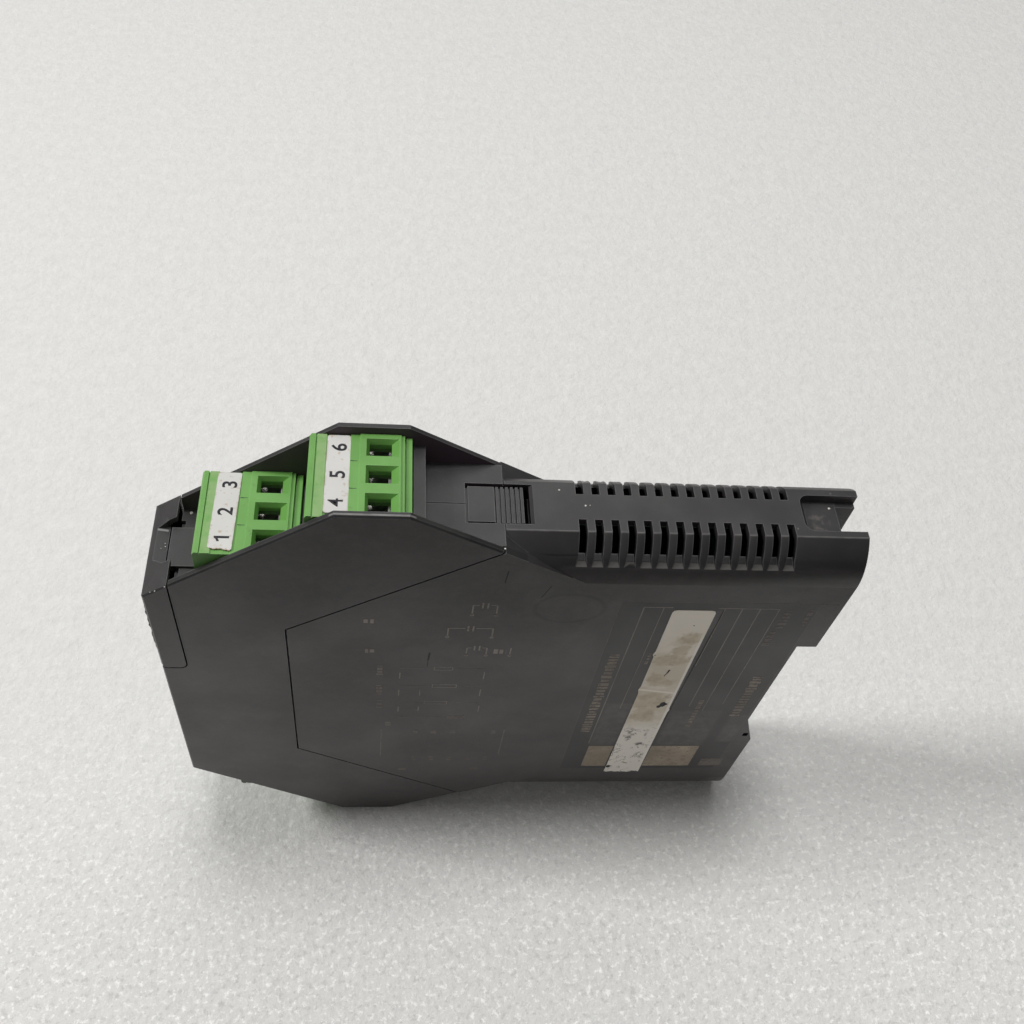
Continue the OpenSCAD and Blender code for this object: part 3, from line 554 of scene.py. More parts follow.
def worn_print(name, ink, keep, least):
    """Faded print: the ink breaks up and shows the black plastic under it; least always stays."""
    paint = Paint(name, roughness=0.55, specular=0.35)
    worn_from = 0.44 + 0.25 * keep
    left = paint.steps(paint.noise(1300, 5, 0.7), worn_from + 0.07, worn_from - 0.07)
    drift = paint.steps(paint.noise(90, 3), 0.3, 0.7, 0.6, 1.0)
    tone = paint.colour(scaled(ink, 0.75), ink, paint.noise(500, 3))
    tone = paint.colour(HOUSING_TONE, tone, paint.math("MAXIMUM", paint.times(left, drift), least))
    return paint.set(tone)


GHOST_TONE = (0.125, 0.105, 0.093)


def film(name, base, ghosts=()):
    """Smooth label film; ghosts are fields where print was rubbed away."""
    paint = Paint(name, roughness=0.46, specular=0.5)
    tone = paint.colour(scaled(base, 0.85), scaled(base, 1.15), paint.noise(60, 4))
    if ghosts:
        rubbed = paint.steps(paint.noise(480, 5, 0.7), 0.36, 0.64, 0.15, 0.5)
        field = paint.any_of([paint.within(x=x, z=z, soft=0.0006) for x, z in ghosts])
        tone = paint.colour(tone, GHOST_TONE, paint.times(field, rubbed))
    rough = paint.steps(paint.noise(60, 4), 0.3, 0.7, 0.32, 0.44)
    paint.bump(paint.noise(5200, 2, 0.6), 0.00002, 0.4)
    return paint.set(tone, rough)


STAINS = (((88.7, 21.9), (2.5, 2.4)), ((88.4, 17.6), (1.9, 2.2)), ((87.6, 13.9), (4.4, 2.7)),
          ((86.1, 7.2), (2.6, 3.6)), ((88.2, 6.0), (2.2, 1.8)), ((86.7, -1.4), (4.2, 4.0)),
          ((87.2, -7.9), (3.2, 3.6)))
SMEARS = (((85.9, -14.9), (0.95, 2.0)), ((86.2, -18.2), (0.8, 1.3)), ((89.4, -15.4), (0.6, 2.3)),
          ((89.2, -21.2), (1.2, 1.0)), ((90.1, -26.0), (1.1, 1.4)), ((85.1, -32.0), (0.8, 1.2)))
PAPER_DULL = (0.695, 0.640, 0.560)
PAPER_PALE = (0.765, 0.710, 0.63)
TAN_DEEP = (0.385, 0.305, 0.195)
TAN_PALE = (0.56, 0.485, 0.36)
PAPER_HAZE = (0.47, 0.395, 0.285)
FOLD_TONE = (0.82, 0.77, 0.68)
FOLD_SLOPE = 0.21
FOLD_POINT = (83.9, 2.9)
LOW_END_PALER = (0.80, 0.76, 0.70)
SMEAR_TONE = (0.115, 0.098, 0.085)
SIDE_HIGHLIGHT = (0.84, 0.80, 0.73)
SIDE_SLOPE = 0.013
SIDE_START = (90.75, 90.95)
PAPER_EDGE = (0.68, 0.65, 0.61)


def stained_paper(name):
    """White paper: tan stains in its middle, a pale fold, a paler, scribbled lower end and a painted
    highlight along its right edge.
    """
    paint = Paint(name, roughness=0.62, specular=0.3)
    tone = paint.colour(PAPER_DULL, PAPER_PALE, paint.noise(300, 4))
    height = paint.axis("Z")
    fine = paint.math("MULTIPLY", paint.math("SUBTRACT", paint.noise(420, 5, 0.66), 0.5), 1.6)
    broad = paint.math("MULTIPLY", paint.math("SUBTRACT", paint.noise(130, 3, 0.6), 0.5), 1.5)
    rim = paint.math("ADD", fine, broad)
    stain = paint.any_of([paint.patch(middle, half, rim, 0.5) for middle, half in STAINS])
    tan = paint.colour(TAN_DEEP, TAN_PALE, paint.steps(paint.noise(520, 5, 0.66), 0.36, 0.62))
    tone = paint.colour(tone, tan, paint.times(stain, 0.82))
    haze = paint.times(paint.steps(height, MID_Z + 26 * MM, MID_Z + 17 * MM),
                       paint.steps(height, MID_Z - 14 * MM, MID_Z - 9 * MM),
                       paint.steps(paint.noise(260, 4), 0.34, 0.62))
    tone = paint.colour(tone, PAPER_HAZE, paint.times(haze, 0.5))
    across = paint.math("ADD", height, paint.math("MULTIPLY", paint.axis("X"), FOLD_SLOPE))
    fold_at = MID_Z + FOLD_POINT[1] * MM + FOLD_SLOPE * (FRONT_X + FOLD_POINT[0] * MM)
    off_fold = paint.math("ABSOLUTE", paint.math("SUBTRACT", across, fold_at))
    fold = paint.steps(off_fold, 0.00042, 0.00018)
    tone = paint.colour(tone, FOLD_TONE, paint.times(fold, 0.75))
    # Paler towards the lower end.
    low = paint.steps(height, MID_Z - 10.5 * MM, MID_Z - 16 * MM)
    tone = paint.colour(tone, LOW_END_PALER, paint.times(low, 0.8))
    streaks = paint.steps(paint.noise(900, 4, 0.66, stretch=(1, 1, 0.7)), 0.42, 0.56)
    spots = paint.any_of([paint.patch(spot, half, rim, 0.8) for spot, half in SMEARS])
    smear = paint.times(spots, streaks, 0.92)
    wander = paint.noise(360, 3, 0.6, distortion=0.5)
    ridge = paint.math("ABSOLUTE", paint.math("SUBTRACT", wander, 0.5))
    sparse = paint.steps(paint.noise(240, 3), 0.44, 0.56)
    scribble = paint.times(paint.steps(ridge, 0.030, 0.008), sparse, low, 0.75)
    tone = paint.colour(tone, SMEAR_TONE, paint.any_of([smear, scribble]))
    # Painted highlight: a paler band along the lower part of the right edge.
    edge = paint.math("ADD", paint.axis("X"), paint.math("MULTIPLY", height, SIDE_SLOPE))
    rise = [FRONT_X + x * MM + SIDE_SLOPE * MID_Z for x in SIDE_START]
    side = paint.times(paint.steps(edge, *rise), paint.steps(height, MID_Z + 25 * MM, MID_Z + 20 * MM))
    tone = paint.colour(tone, SIDE_HIGHLIGHT, paint.times(side, 0.8))
    tone = paint.colour(tone, PAPER_EDGE, paint.times(paint.edges(0.0002), 0.5))
    paint.bump(paint.noise(1500, 4), 0.00003, 0.5)
    rough = paint.steps(stain, 0, 1, 0.62, 0.48)
    return paint.set(tone, rough)


def metal(name, base, roughness=0.32):
    paint = Paint(name, roughness=roughness, metallic=1.0)
    tone = paint.colour(scaled(base, 0.8), base, paint.noise(900, 4))
    paint.bump(paint.noise(4000, 2, stretch=(1, 1, 0.2)), 0.00002, 0.4)
    rough = paint.steps(paint.noise(500, 3), 0.3, 0.7, roughness - 0.08, roughness + 0.1)
    return paint.set(tone, rough)


BOARD_TRACK = (0.012, 0.060, 0.028)
BOARD_GROUND = (0.008, 0.035, 0.018)
CLEAR_DULL = (0.70, 0.71, 0.66)
CLEAR_PALE = (0.80, 0.80, 0.76)
COPPER_DEEP = (0.35, 0.13, 0.04)
COPPER_BRIGHT = (0.75, 0.38, 0.16)


def laminate(name):
    paint = Paint(name, roughness=0.35)
    tracks = paint.steps(paint.cells(900, stretch=(1, 1, 0.35)), 0.05, 0.12)
    return paint.set(paint.colour(BOARD_TRACK, BOARD_GROUND, tracks))


def moulded_part(name, base):
    paint = Paint(name, roughness=0.5)
    tone = paint.colour(scaled(base, 0.8), scaled(base, 1.25), paint.noise(400, 4))
    paint.bump(paint.noise(4000, 2), 0.00002, 0.4)
    return paint.set(tone)


def clear_part(name):
    paint = Paint(name, roughness=0.15)
    paint.shader.inputs["Transmission Weight"].default_value = 0.6
    return paint.set(paint.colour(CLEAR_DULL, CLEAR_PALE, paint.noise(300, 2)))


def wound_copper(name):
    paint = Paint(name, roughness=0.35, metallic=0.8)
    turns = paint.node("ShaderNodeTexWave", bands_direction="Z")
    turns.inputs["Scale"].default_value = 700
    turns.inputs["Distortion"].default_value = 0.3
    paint.link(paint.place, turns.inputs["Vector"])
    tone = paint.colour(COPPER_DEEP, COPPER_BRIGHT, turns.outputs["Fac"])
    paint.bump(turns.outputs["Fac"], 0.0001, 0.8)
    return paint.set(tone)


def flat_tone(name, base, roughness=0.6):
    paint = Paint(name, roughness=roughness, specular=0.3)
    return paint.set(paint.colour(scaled(base, 0.8), scaled(base, 1.1), paint.noise(1500, 3)))


# Fields of the label film where print was rubbed away, as ranges of x and z
RUBBED_FIELDS = (((92.3, 102.2), (-21.8, -6)), ((78.9, 84), (-22, -3)), ((104.5, 108), (-20, -8)))


def make_materials():
    return {
        "housing_plastic": moulded_black("housing_plastic", HOUSING_TONE),
        "flap_plastic": moulded_black("flap_plastic", scaled(HOUSING_TONE, 1.05)),
        "foot_plastic": moulded_black("foot_plastic", (0.022, 0.022, 0.024), dust_and_painted_shading=False),
        "terminal_green": moulded_green("terminal_green"),
        "marker_white": printed_white("marker_white"),
        "flap_label_film": film("flap_label_film", (0.40, 0.36, 0.30)),
        "rating_film": film("rating_film", scaled(HOUSING_TONE, 1.06), RUBBED_FIELDS),
        "sticker_paper": stained_paper("sticker_paper"),
        "board_laminate": laminate("board_laminate"),
        "black_component": moulded_part("black_component", (0.03, 0.03, 0.032)),
        "plated_steel": metal("plated_steel", (0.50, 0.50, 0.48)),
        "tinned_contact": metal("tinned_contact", (0.74, 0.72, 0.64), 0.25),
        "ferrite": moulded_part("ferrite", (0.06, 0.06, 0.065)),
        "copper_winding": wound_copper("copper_winding"),
        "capacitor_can": moulded_part("capacitor_can", (0.05, 0.06, 0.12)),
        "clear_plastic": clear_part("clear_plastic"),
        "ink": black_ink("ink"),
        "worn_line": worn_print("worn_line", (0.300, 0.262, 0.232), 0.85, 0.45),
        "worn_field": worn_print("worn_field", (0.460, 0.380, 0.285), 0.6, 0.55),
        "faint_line": worn_print("faint_line", (0.200, 0.172, 0.152), 0.65, 0.38),
        "smudge": worn_print("smudge", (0.330, 0.275, 0.225), 0.5, 0.42),
        "paper_edge": flat_tone("paper_edge", (0.20, 0.13, 0.07)),
        "scuff": flat_tone("scuff", (0.0135, 0.0130, 0.0135), 0.45),
        "dust": flat_tone("dust", (0.60, 0.58, 0.54)),
    }


def dress_nodes():
    """Every CAD node takes the node material of its slot in the record."""
    for entry in frame["record"]["subparts"]:
        thing = frame["nodes"][entry["node"]]
        thing.data.materials.clear()
        thing.data.materials.append(MATERIALS[entry["material_slot"]])


# Soft edges on the moulded nodes

HOUSING_EDGE = 0.12
PLUG_EDGE = 0.07
EDGE_ANGLE = math.radians(38)
EDGE_STEPS = 2


def soften(node, width):
    """A small bevel on the sharp edges of a node."""
    thing = frame["nodes"][node]
    weld = thing.modifiers.new("weld", "WELD")
    weld.merge_threshold = 1e-6
    bevel = thing.modifiers.new("bevel", "BEVEL")
    bevel.width = width * MM
    bevel.segments = EDGE_STEPS
    bevel.limit_method = "ANGLE"
    bevel.angle_limit = EDGE_ANGLE
    bevel.use_clamp_overlap = True


# Thin pieces: print, marks, labels and dust

INK_THICK = 0.012
DISC_CORNERS = 10


def add_piece(name, mesh, material, body=HOUSING):
    """A new piece of the scene and riding on its body."""
    mesh.materials.clear()
    mesh.materials.append(MATERIALS[material])
    thing = bpy.data.objects.new(name, mesh)
    bpy.context.scene.collection.objects.link(thing)
    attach(thing, body)
    return thing


def prisms_mesh(name, outlines, lift):
    """One mesh of closed thin solids: each outline of points thickened by the vector lift."""
    made = bmesh.new()
    for corners in outlines:
        low = [made.verts.new(c) for c in corners]
        high = [made.verts.new(c + lift) for c in corners]
        made.faces.new(low)
        made.faces.new(list(reversed(high)))
        for i in range(len(corners)):
            j = (i + 1) % len(corners)
            made.faces.new((low[i], low[j], high[j], high[i]))
    bmesh.ops.recalc_face_normals(made, faces=made.faces)
    mesh = bpy.data.meshes.new(name)
    made.to_mesh(mesh)
    made.free()
    return mesh


def stroke(p, q, width):
    """Outline of a straight line from p to q."""
    du, dv = q[0] - p[0], q[1] - p[1]
    size = math.hypot(du, dv)
    nu, nv = -dv / size * width / 2, du / size * width / 2
    return [(p[0] + nu, p[1] + nv), (q[0] + nu, q[1] + nv), (q[0] - nu, q[1] - nv), (p[0] - nu, p[1] - nv)]


def path_strokes(points, width):
    return [stroke(points[i], points[i + 1], width) for i in range(len(points) - 1)]


def box_outline(u0, v0, u1, v1):
    return [(u0, v0), (u1, v0), (u1, v1), (u0, v1)]


def disc(u, v, r, tall=1.0):
    """Outline of a disc, or of an upright ellipse."""
    turns = [2 * math.pi * i / DISC_CORNERS for i in range(DISC_CORNERS)]
    return [(u + r * math.cos(turn), v + r * tall * math.sin(turn)) for turn in turns]


def near_print(name, outlines, material, y=-HALF_W):
    """Print on the near side: outlines of x and z."""
    corners = [[at(x, y, z) for x, z in outline] for outline in outlines]
    return add_piece(name, prisms_mesh(name, corners, Vector((0, -INK_THICK * MM, 0))), material)


def word_bars(rng, u, start, end, width, along_v=True):
    """A short run of print as small bars with gaps, without any letters."""
    bars = []
    v = start
    while v < end:
        size = rng.uniform(0.5, 1.1)
        thick = width * rng.uniform(0.7, 1.0)
        low, high = u - thick / 2, u + thick / 2
        stop = min(v + size, end)
        bars.append(box_outline(low, v, high, stop) if along_v else box_outline(v, low, stop, high))
        v += size + rng.uniform(0.25, 0.5)
    return bars


TABLE_TOP = 31.8
TABLE_COLUMNS = ((78.6, -20.8, 0.2), (81.9, -5, 0.15), (92.2, 12, 0.13), (95.1, -4, 0.17),
                 (98.15, -6, 0.17), (101.4, -3, 0.15))
FIELD_LOW = -32.1
FIELD_TOP = -22.2


def rating_table():
    """Border, ruled lines and pale fields of the rating panel."""
    lines = [stroke((74.6, 33.45), (111.2, 33.45), 0.13), stroke((74.6, 33.4), (74.6, 20), 0.1)]
    ruled = [stroke((x0, TABLE_TOP), (x1, TABLE_TOP), 0.2) for x0, x1 in ((78.6, 83.4), (91.0, 101.4))]
    ruled += [stroke((x, TABLE_TOP), (x, low), width) for x, low, width in TABLE_COLUMNS]
    near_print("panel_border", lines, "faint_line")
    near_print("table_lines", ruled, "worn_line")
    fields = [box_outline(x0, FIELD_LOW, x1, FIELD_TOP) for x0, x1 in ((78.9, 84.0), (91.9, 101.9))]
    near_print("table_fields", fields, "worn_field")
    near_print("small_field", [box_outline(104, -32, 108.7, -28.5)], "faint_line")


# Diagram: brackets as x0, x1, z0, z1; rows as z, low x, high x and their box's two x; words by x and z
BRACKETS = ((50.9, 54.8, 28.6, 31.6), (47.4, 54.8, 21.4, 24.3), (51, 54.4, 15.2, 17.8))
BRACKET_GAP = 0.9
CONTACT_APART = 0.42
CONTACT_HALF = 0.14
DOT_RADIUS = 0.36
ROWS = ((10.3, 40.0, 54.8, (45.9, 49.1)), (3.7, 40.0, 54.7, (45.9, 50.2)),
        (-2.9, 40.1, 55.0, (44.8, 48.9)))
BOX_HALF = 0.55
PAIR_WORDS = ((34.5, 26.2), (34.8, 16.4))
SIDE_WORDS = ((36.5, 7.8, 11.2), (36.5, 0.3, 4.0), (36.6, -5.2, -1.8), (38.4, -12.7, -11.0))
UPPER_WORDS = (43.7, 47.2, 50.9, 58.8)
LOWER_WORDS = (43.9, 47.3, 51.0, 54.9, 58.3)


def bracket_print(x0, x1, z0, z1):
    """A bracket with a gap in its upper bar, two contact bars and a dot on each foot."""
    middle = (x0 + x1) / 2
    marks = [stroke((x0, z0), (x0, z1), 0.24), stroke((x1, z0), (x1, z1), 0.24)]
    marks.append(stroke((x0, z1), (middle - BRACKET_GAP, z1), 0.18))
    marks.append(stroke((middle + BRACKET_GAP, z1), (x1, z1), 0.18))
    marks += [disc(x0, z0, DOT_RADIUS), disc(x1, z0, DOT_RADIUS)]
    for bar in (middle - CONTACT_APART, middle + CONTACT_APART):
        marks.append(box_outline(bar - CONTACT_HALF, z1 - 0.9, bar + CONTACT_HALF, z1 + 0.7))
    return marks


def circuit_print():
    """Faded wiring diagram on the side tongue: brackets, lead lines and plain boxes."""
    clear, faint = [], []
    for bracket in BRACKETS:
        clear += bracket_print(*bracket)
    clear += [stroke((58.5, 15.2), (58.5, 17.9), 0.24), disc(58.5, 15.2, DOT_RADIUS)]
    for z, low, high, (left, right) in ROWS:
        faint += [stroke((low, z), (left, z), 0.16), stroke((right, z), (high, z), 0.16)]
        box = box_outline(left, z - BOX_HALF, right, z + BOX_HALF)
        clear += path_strokes(box + box[:1], 0.17)
        clear.append(stroke((low, z - 1.6), (low, z - 3.8), 0.22))
        clear.append(stroke((high, z - 1.2), (high, z - 3.8), 0.2))
    clear += [stroke((43.8, 2.2), (43.8, -0.1), 0.2), stroke((43.8, -4.6), (43.8, -6.4), 0.2)]
    faint += [stroke((37.2, -14.4), (37.2, -27.0), 0.24), stroke((60.9, -14.3), (60.9, -26.1), 0.24)]
    faint += [stroke((40.2, -9.0), (49.3, -9.0), 0.16), box_outline(49.4, -9.6, 52.6, -8.4)]
    rng = random.Random(7)
    for x, z in PAIR_WORDS:
        clear += word_bars(rng, z, x - 0.9, x + 0.9, 1.5, along_v=False)
    clear += word_bars(rng, 16.6, 55.6, 57.8, 1.6, along_v=False)
    for x, z0, z1 in SIDE_WORDS:
        faint += word_bars(rng, x, z0, z1, 1.2)
    for x in UPPER_WORDS:
        faint += word_bars(rng, x, -16.2, -14.5, 1.1)
    for x in LOWER_WORDS:
        faint += word_bars(rng, x, -29.0, -27.0, 1.1)
    faint += [box_outline(40.9, -34.0, 42.6, -32.9), box_outline(55.8, -33.9, 57.4, -32.8)]
    near_print("circuit_lines", clear, "worn_line")
    near_print("circuit_faint", faint, "faint_line")


def panel_words():
    """Short unreadable runs beside the table, where the panel carries small print."""
    rng = random.Random(3)
    rows = word_bars(rng, 76.9, -15.5, 16, 2.0)
    rows += word_bars(rng, 83.0, 12.5, 16.5, 0.7)
    rows += word_bars(rng, 97.0, -13, -1.5, 1.0)
    rows += word_bars(rng, 105.1, -8.2, 8, 2.2)
    near_print("panel_words", rows, "smudge")
    words = word_bars(rng, 103.2, 25.6, 31.4, 1.6) + word_bars(rng, 102.6, 19.6, 24.4, 1.3)
    words += word_bars(rng, 107.0, 26.4, 31.6, 0.9)
    near_print("panel_faint_words", words, "faint_line")


def scuffs():
    """Dark rub marks on the near side."""
    marks = [stroke((44.8, 15.9), (44.65, 13.3), 0.34), stroke((44.65, 13.3), (44.6, 10.8), 0.14)]
    marks += [stroke((55.4, 41.7), (55.2, 38.3), 0.2), stroke((61.4, 34.1), (62.6, 37.7), 0.12)]
    near_print("scuffs", marks, "scuff")


HOUSING_SPECKS = ((5.66, 7.0, 32.9, 0.26), (63.3, 3.1, 46.8, 0.15), (67.2, 0.2, 46.8, 0.17),
                  (67.9, 0.3, 46.8, 0.09), (107.6, 2.3, 45.0, 0.2), (54.3, -8.2, 46.9, 0.14))
FLAP_SPECKS = ((2.42, 0.85, 33.0, 0.08), (2.5, 0.3, 32.98, 0.1), (1.95, -0.25, 33.3, 0.06),
               (3.9, -8.72, 35.5, 0.1), (2.3, -8.72, 34.25, 0.09), (1.5, -8.6, 33.7, 0.07))


def dust_specks(name, spots, body):
    """A few bright grains, where the light catches them."""
    rng = random.Random(5)
    made = bmesh.new()
    for x, y, z, r in spots:
        grown = bmesh.ops.create_icosphere(made, subdivisions=2, radius=r * MM)
        for vert in grown["verts"]:
            vert.co *= 1 + 0.35 * (mnoise.noise(vert.co * 5000 + Vector((x, y, z))) + rng.uniform(-0.1, 0.1))
            vert.co.z *= 0.5
            vert.co += at(x, y, z)
    mesh = bpy.data.meshes.new(name)
    made.to_mesh(mesh)
    made.free()
    add_piece(name, mesh, "dust", body=body)


# Terminal numbers and their strips

PLUGS = {1: (8.55, 25.1, 1), 2: (25.1, 34.9, 1), 3: (8.55, 25.1, -1), 4: (25.1, 34.9, -1)}
POLE = 5.08
STRIP_TOP = 18.16
DIGIT_HEIGHT = 2.25
STRIP_CORNERS = {
    1: [(2.42, 7.42), (6.0, 7.38), (5.68, -7.1), (2.16, -6.75)],
    2: [(2.68, 7.4), (6.12, 7.42), (6.15, -6.95), (2.6, -6.9)],
    3: [(2.66, 6.9), (6.05, 6.95), (6.04, -6.95), (2.64, -6.9)],
    4: [(2.66, 6.95), (6.04, 6.9), (6.06, -6.9), (2.65, -6.95)],
}
STRIP_THICK = 0.2
RAGGED = {1: 0.24, 2: 0.05, 3: 0.04, 4: 0.04}
EVEN_EDGE = 0.025
CORNER_CUT = 0.28
TORN_STEPS = 26
EDGE_POINTS = 8


def plug_point(number, a, y, top):
    """A point of a plug: a mm behind its front face, y mm off the middle, top mm above its well's floor."""
    x, floor, side = PLUGS[number]
    return at(x + a, y, side * (floor + top))


def torn_outline(corners, rng, tear):
    """The four sides as many points, with cut corners; the third side is torn by tear mm."""
    points = []
    for i in range(4):
        p, q = Vector(corners[i]), Vector(corners[(i + 1) % 4])
        depth = tear if i == 2 else EVEN_EDGE
        steps = TORN_STEPS if i == 2 else EDGE_POINTS
        along = (q - p).normalized()
        p, q = p + along * CORNER_CUT, q - along * CORNER_CUT
        for k in range(steps):
            shift = mnoise.noise(Vector((k * 0.31, i * 7.7, rng.random() * 0.2))) * depth
            points.append(tuple(p.lerp(q, k / (steps - 1)) + along.orthogonal() * shift))
    return points


def number_strip(number):
    """A number strip with uneven edges, in place of the plain one; the first has a dirty torn end."""
    rng = random.Random(number)
    outline = torn_outline(STRIP_CORNERS[number], rng, RAGGED[number])
    side = PLUGS[number][2]
    corners = [plug_point(number, a, y, STRIP_TOP - STRIP_THICK) for a, y in outline]
    mesh = prisms_mesh(f"strip_{number}", [corners], Vector((0, 0, side * STRIP_THICK * MM)))
    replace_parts(add_piece(f"strip_{number}", mesh, "marker_white"), f"marker_strip_{number}")
    if number == 1:
        torn = outline[2 * EDGE_POINTS:2 * EDGE_POINTS + TORN_STEPS]
        rims = []
        for k in range(len(torn) - 1):
            line = stroke(torn[k], torn[k + 1], 0.05 if k % 3 else 0.16)
            rims.append([plug_point(number, a, y, STRIP_TOP) for a, y in line])
        mesh = prisms_mesh("strip_rim", rims, Vector((0, 0, 0.006 * MM)))
        add_piece("strip_rim", mesh, "paper_edge")


ONE = [(0.12, -1.12), (0.53, -1.12), (0.53, 1.12), (0.22, 1.12), (0.02, 0.84), (-0.42, 0.64),
       (-0.42, 0.28), (-0.12, 0.37), (0.12, 0.52)]
FIGURE_HALF = 0.006
FIGURE_PITCH = 1.5
FIGURE_SIZE = 1.38
BOLD = 0.055
THIN = 0.015


def glyph_mesh(sign, shift):
    """One figure as thin ink in the plane of X and Y, shifted sideways; the one has a flag."""
    if sign == "1":
        corners = [Vector(((u + shift) * MM, v * MM, -FIGURE_HALF * MM)) for u, v in ONE]
        return prisms_mesh(sign, [corners], Vector((0, 0, 2 * FIGURE_HALF * MM)))
    curve = bpy.data.curves.new(f"figure_{sign}", "FONT")
    curve.body = sign
    curve.size = DIGIT_HEIGHT * FIGURE_SIZE * MM
    curve.align_x = "CENTER"
    curve.align_y = "CENTER"
    curve.offset = (THIN if sign == "4" else BOLD) * MM
    curve.extrude = FIGURE_HALF * MM
    curve.resolution_u = 5
    thing = bpy.data.objects.new(f"figure_{sign}", curve)
    bpy.context.scene.collection.objects.link(thing)
    bpy.context.view_layer.update()
    mesh = bpy.data.meshes.new_from_object(thing)
    bpy.data.objects.remove(thing)
    mesh.transform(Matrix.Translation(Vector((shift * MM, 0, 0))))
    return mesh


def digit(text, number, a, y):
    """A terminal number, its top towards the module's front."""
    made = bmesh.new()
    for i, sign in enumerate(text):
        made.from_mesh(glyph_mesh(sign, (i - (len(text) - 1) / 2) * FIGURE_PITCH))
    side = PLUGS[number][2]
    right, up, out = Vector((0, side, 0)), Vector((-1, 0, 0)), Vector((0, 0, side))
    turn = Matrix((right, up, out)).transposed().to_4x4()
    made.transform(Matrix.Translation(plug_point(number, a, y, STRIP_TOP + 0.008)) @ turn)
    mesh = bpy.data.meshes.new(f"number_{text}")
    made.to_mesh(mesh)
    made.free()
    add_piece(f"number_{text}", mesh, "ink")


# Middle of each row of numbers behind its plug's front, and its lean per pole
NUMBER_ROWS = {1: (4.25, 0.19), 2: (4.5, 0.08), 3: (4.35, 0.0), 4: (4.35, 0.0)}


def number_plugs():
    for number in PLUGS:
        number_strip(number)
        middle, lean = NUMBER_ROWS[number]
        for pole in range(3):
            side = PLUGS[number][2]
            y = (pole - 1) * POLE * side
            digit(str((number - 1) * 3 + pole + 1), number, middle + lean * y / POLE, y)


TICK = (((6.12, 0.06), (6.7, 0.02), 0.13), ((6.7, 0.02), (7.2, 0.05), 0.09))
TICK_TOP = 18.2


def pole_ticks():
    """Short black marks at the pole boundaries, beside the number strips."""
    outlines = []
    for number in (1, 2):
        for y in (-POLE / 2, POLE / 2):
            for (a0, y0), (a1, y1), width in TICK:
                line = stroke((a0, y + y0), (a1, y + y1), width)
                outlines.append([plug_point(number, a, b, TICK_TOP) for a, b in line])
    mesh = prisms_mesh("pole_ticks", outlines, Vector((0, 0, INK_THICK * MM)))
    add_piece("pole_ticks", mesh, "ink")


# Paper sticker and the flap's label

STICKER_THICK = 0.05
STICKER_LEFT = [(83.6, 30.2), (83.78, 17.2), (83.52, 16.1), (83.86, 15.2), (84.0, 4.0), (83.8, 2.6),
                (84.1, 1.2), (84.3, -33.0)]
STICKER_RIGHT = [(91.75, -33.2), (91.45, -6.5), (91.62, -5.6), (91.4, -4.8), (90.95, 30.2)]
STICKER_TOP = [(90.7, 30.85), (90.1, 31.05), (84.4, 31.05), (83.8, 30.85)]
TORN_LOW = {"start": 84.25, "width": 7.5, "z": -34.9, "points": 30}


def side_sticker():
    """White sticker: rounded top corners, small tears at its left edge and a ragged lower end."""
    rng = random.Random(11)
    low = []
    for k in range(TORN_LOW["points"]):
        x = TORN_LOW["start"] + TORN_LOW["width"] * k / (TORN_LOW["points"] - 1)
        rag = 0.6 * mnoise.noise(Vector((x * 0.9, 1.7, 0))) - 0.3 * rng.random()
        low.append((x, TORN_LOW["z"] + rag))
    outline = STICKER_LEFT + low + STICKER_RIGHT + STICKER_TOP
    points = [at(x, -HALF_W, z) for x, z in outline]
    sheet = prisms_mesh("sticker", [points], Vector((0, -STICKER_THICK * MM, 0)))
    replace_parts(add_piece("sticker", sheet, "sticker_paper"), "side_sticker")
    marks = [stroke((87.85, 10.6), (87.65, 9.3), 0.34), stroke((87.7, 9.5), (87.35, 8.2), 0.2),
             disc(89.75, -3.2, 0.6, tall=1.7), disc(89.15, -4.1, 0.42, tall=1.4), disc(90.3, -3.1, 0.36),
             disc(84.75, -32.3, 0.45, tall=1.5), disc(88.3, 26.2, 0.14), disc(83.95, 15.9, 0.13)]
    near_print("sticker_marks", marks, "scuff", y=-HALF_W - STICKER_THICK)


FLAP_SHEET_Y = (-8.35, 6.4)
FLAP_SHEET_Z = (15, 31)
CURL_START = -6.3
CURL_HEIGHT = 0.36


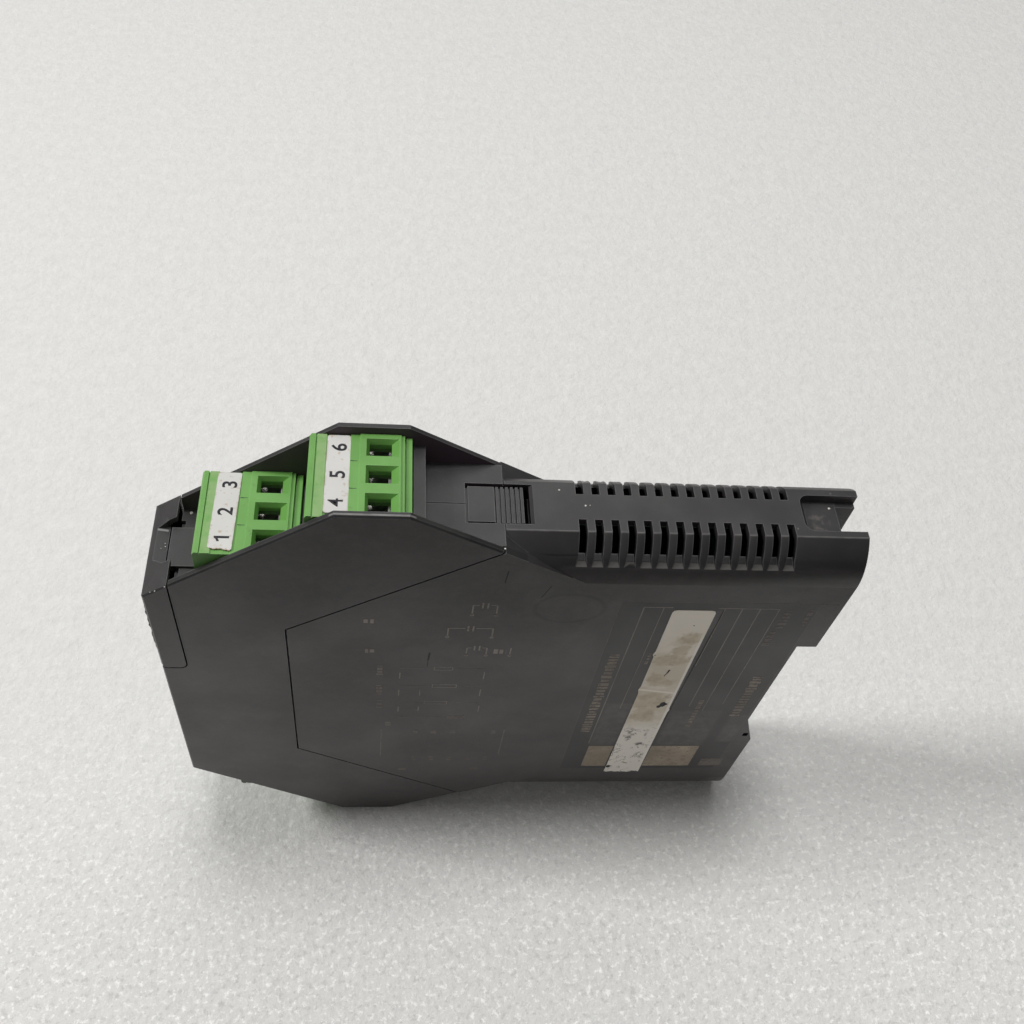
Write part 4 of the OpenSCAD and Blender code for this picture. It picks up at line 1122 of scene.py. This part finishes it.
def flap_label():
    """The flap's label, curling off the flap along its near edge."""
    made = bmesh.new()
    across, up = 22, 32
    rows = []
    for j in range(up + 1):
        z = FLAP_SHEET_Z[0] + (FLAP_SHEET_Z[1] - FLAP_SHEET_Z[0]) * j / up
        row = []
        for i in range(across + 1):
            y = FLAP_SHEET_Y[0] + (FLAP_SHEET_Y[1] - FLAP_SHEET_Y[0]) * i / across
            wave = 0.55 + 0.9 * mnoise.noise(Vector((0.3, y * 0.5, z * 0.8)))
            lifted = max(0.0, (CURL_START - y) / (CURL_START - FLAP_SHEET_Y[0])) ** 2
            curl = lifted * max(0.1, wave) * math.sin(math.pi * j / up)
            row.append(made.verts.new(at(0.02 - CURL_HEIGHT * curl, y, z)))
        rows.append(row)
    for j in range(up):
        for i in range(across):
            made.faces.new((rows[j][i], rows[j][i + 1], rows[j + 1][i + 1], rows[j + 1][i]))
    mesh = bpy.data.meshes.new("flap_sheet")
    made.to_mesh(mesh)
    made.free()
    sheet = add_piece("flap_sheet", mesh, "flap_label_film", body=FLAP)
    thick = sheet.modifiers.new("thick", "SOLIDIFY")
    thick.thickness = 0.06 * MM
    thick.offset = 0
    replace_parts(sheet, "flap_label")


def foot_coil():
    """The rail foot's spring, copied from its CAD node into a piece of its own."""
    spring = frame["nodes"]["foot_spring"]
    mesh = spring.data.copy()
    mesh.transform(spring.matrix_world)
    slot = next(e["material_slot"] for e in frame["record"]["subparts"] if e["node"] == "foot_spring")
    low = min((vert.co for vert in mesh.vertices), key=lambda co: co.z).copy()
    coil = add_piece("foot_coil", mesh, slot)
    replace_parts(coil, "foot_spring")
    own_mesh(coil)


MATERIALS = make_materials()
make_camera()
make_studio()
make_floor()
dress_nodes()

for node_name in ("front_housing", "rear_housing", "front_flap"):
    soften(node_name, HOUSING_EDGE)
for plug in PLUGS:
    soften(f"plug_body_{plug}", PLUG_EDGE)

rating_table()
circuit_print()
panel_words()
scuffs()
dust_specks("dust_specks", HOUSING_SPECKS, HOUSING)
dust_specks("flap_specks", FLAP_SPECKS, FLAP)
number_plugs()
pole_ticks()
side_sticker()
flap_label()
foot_coil()
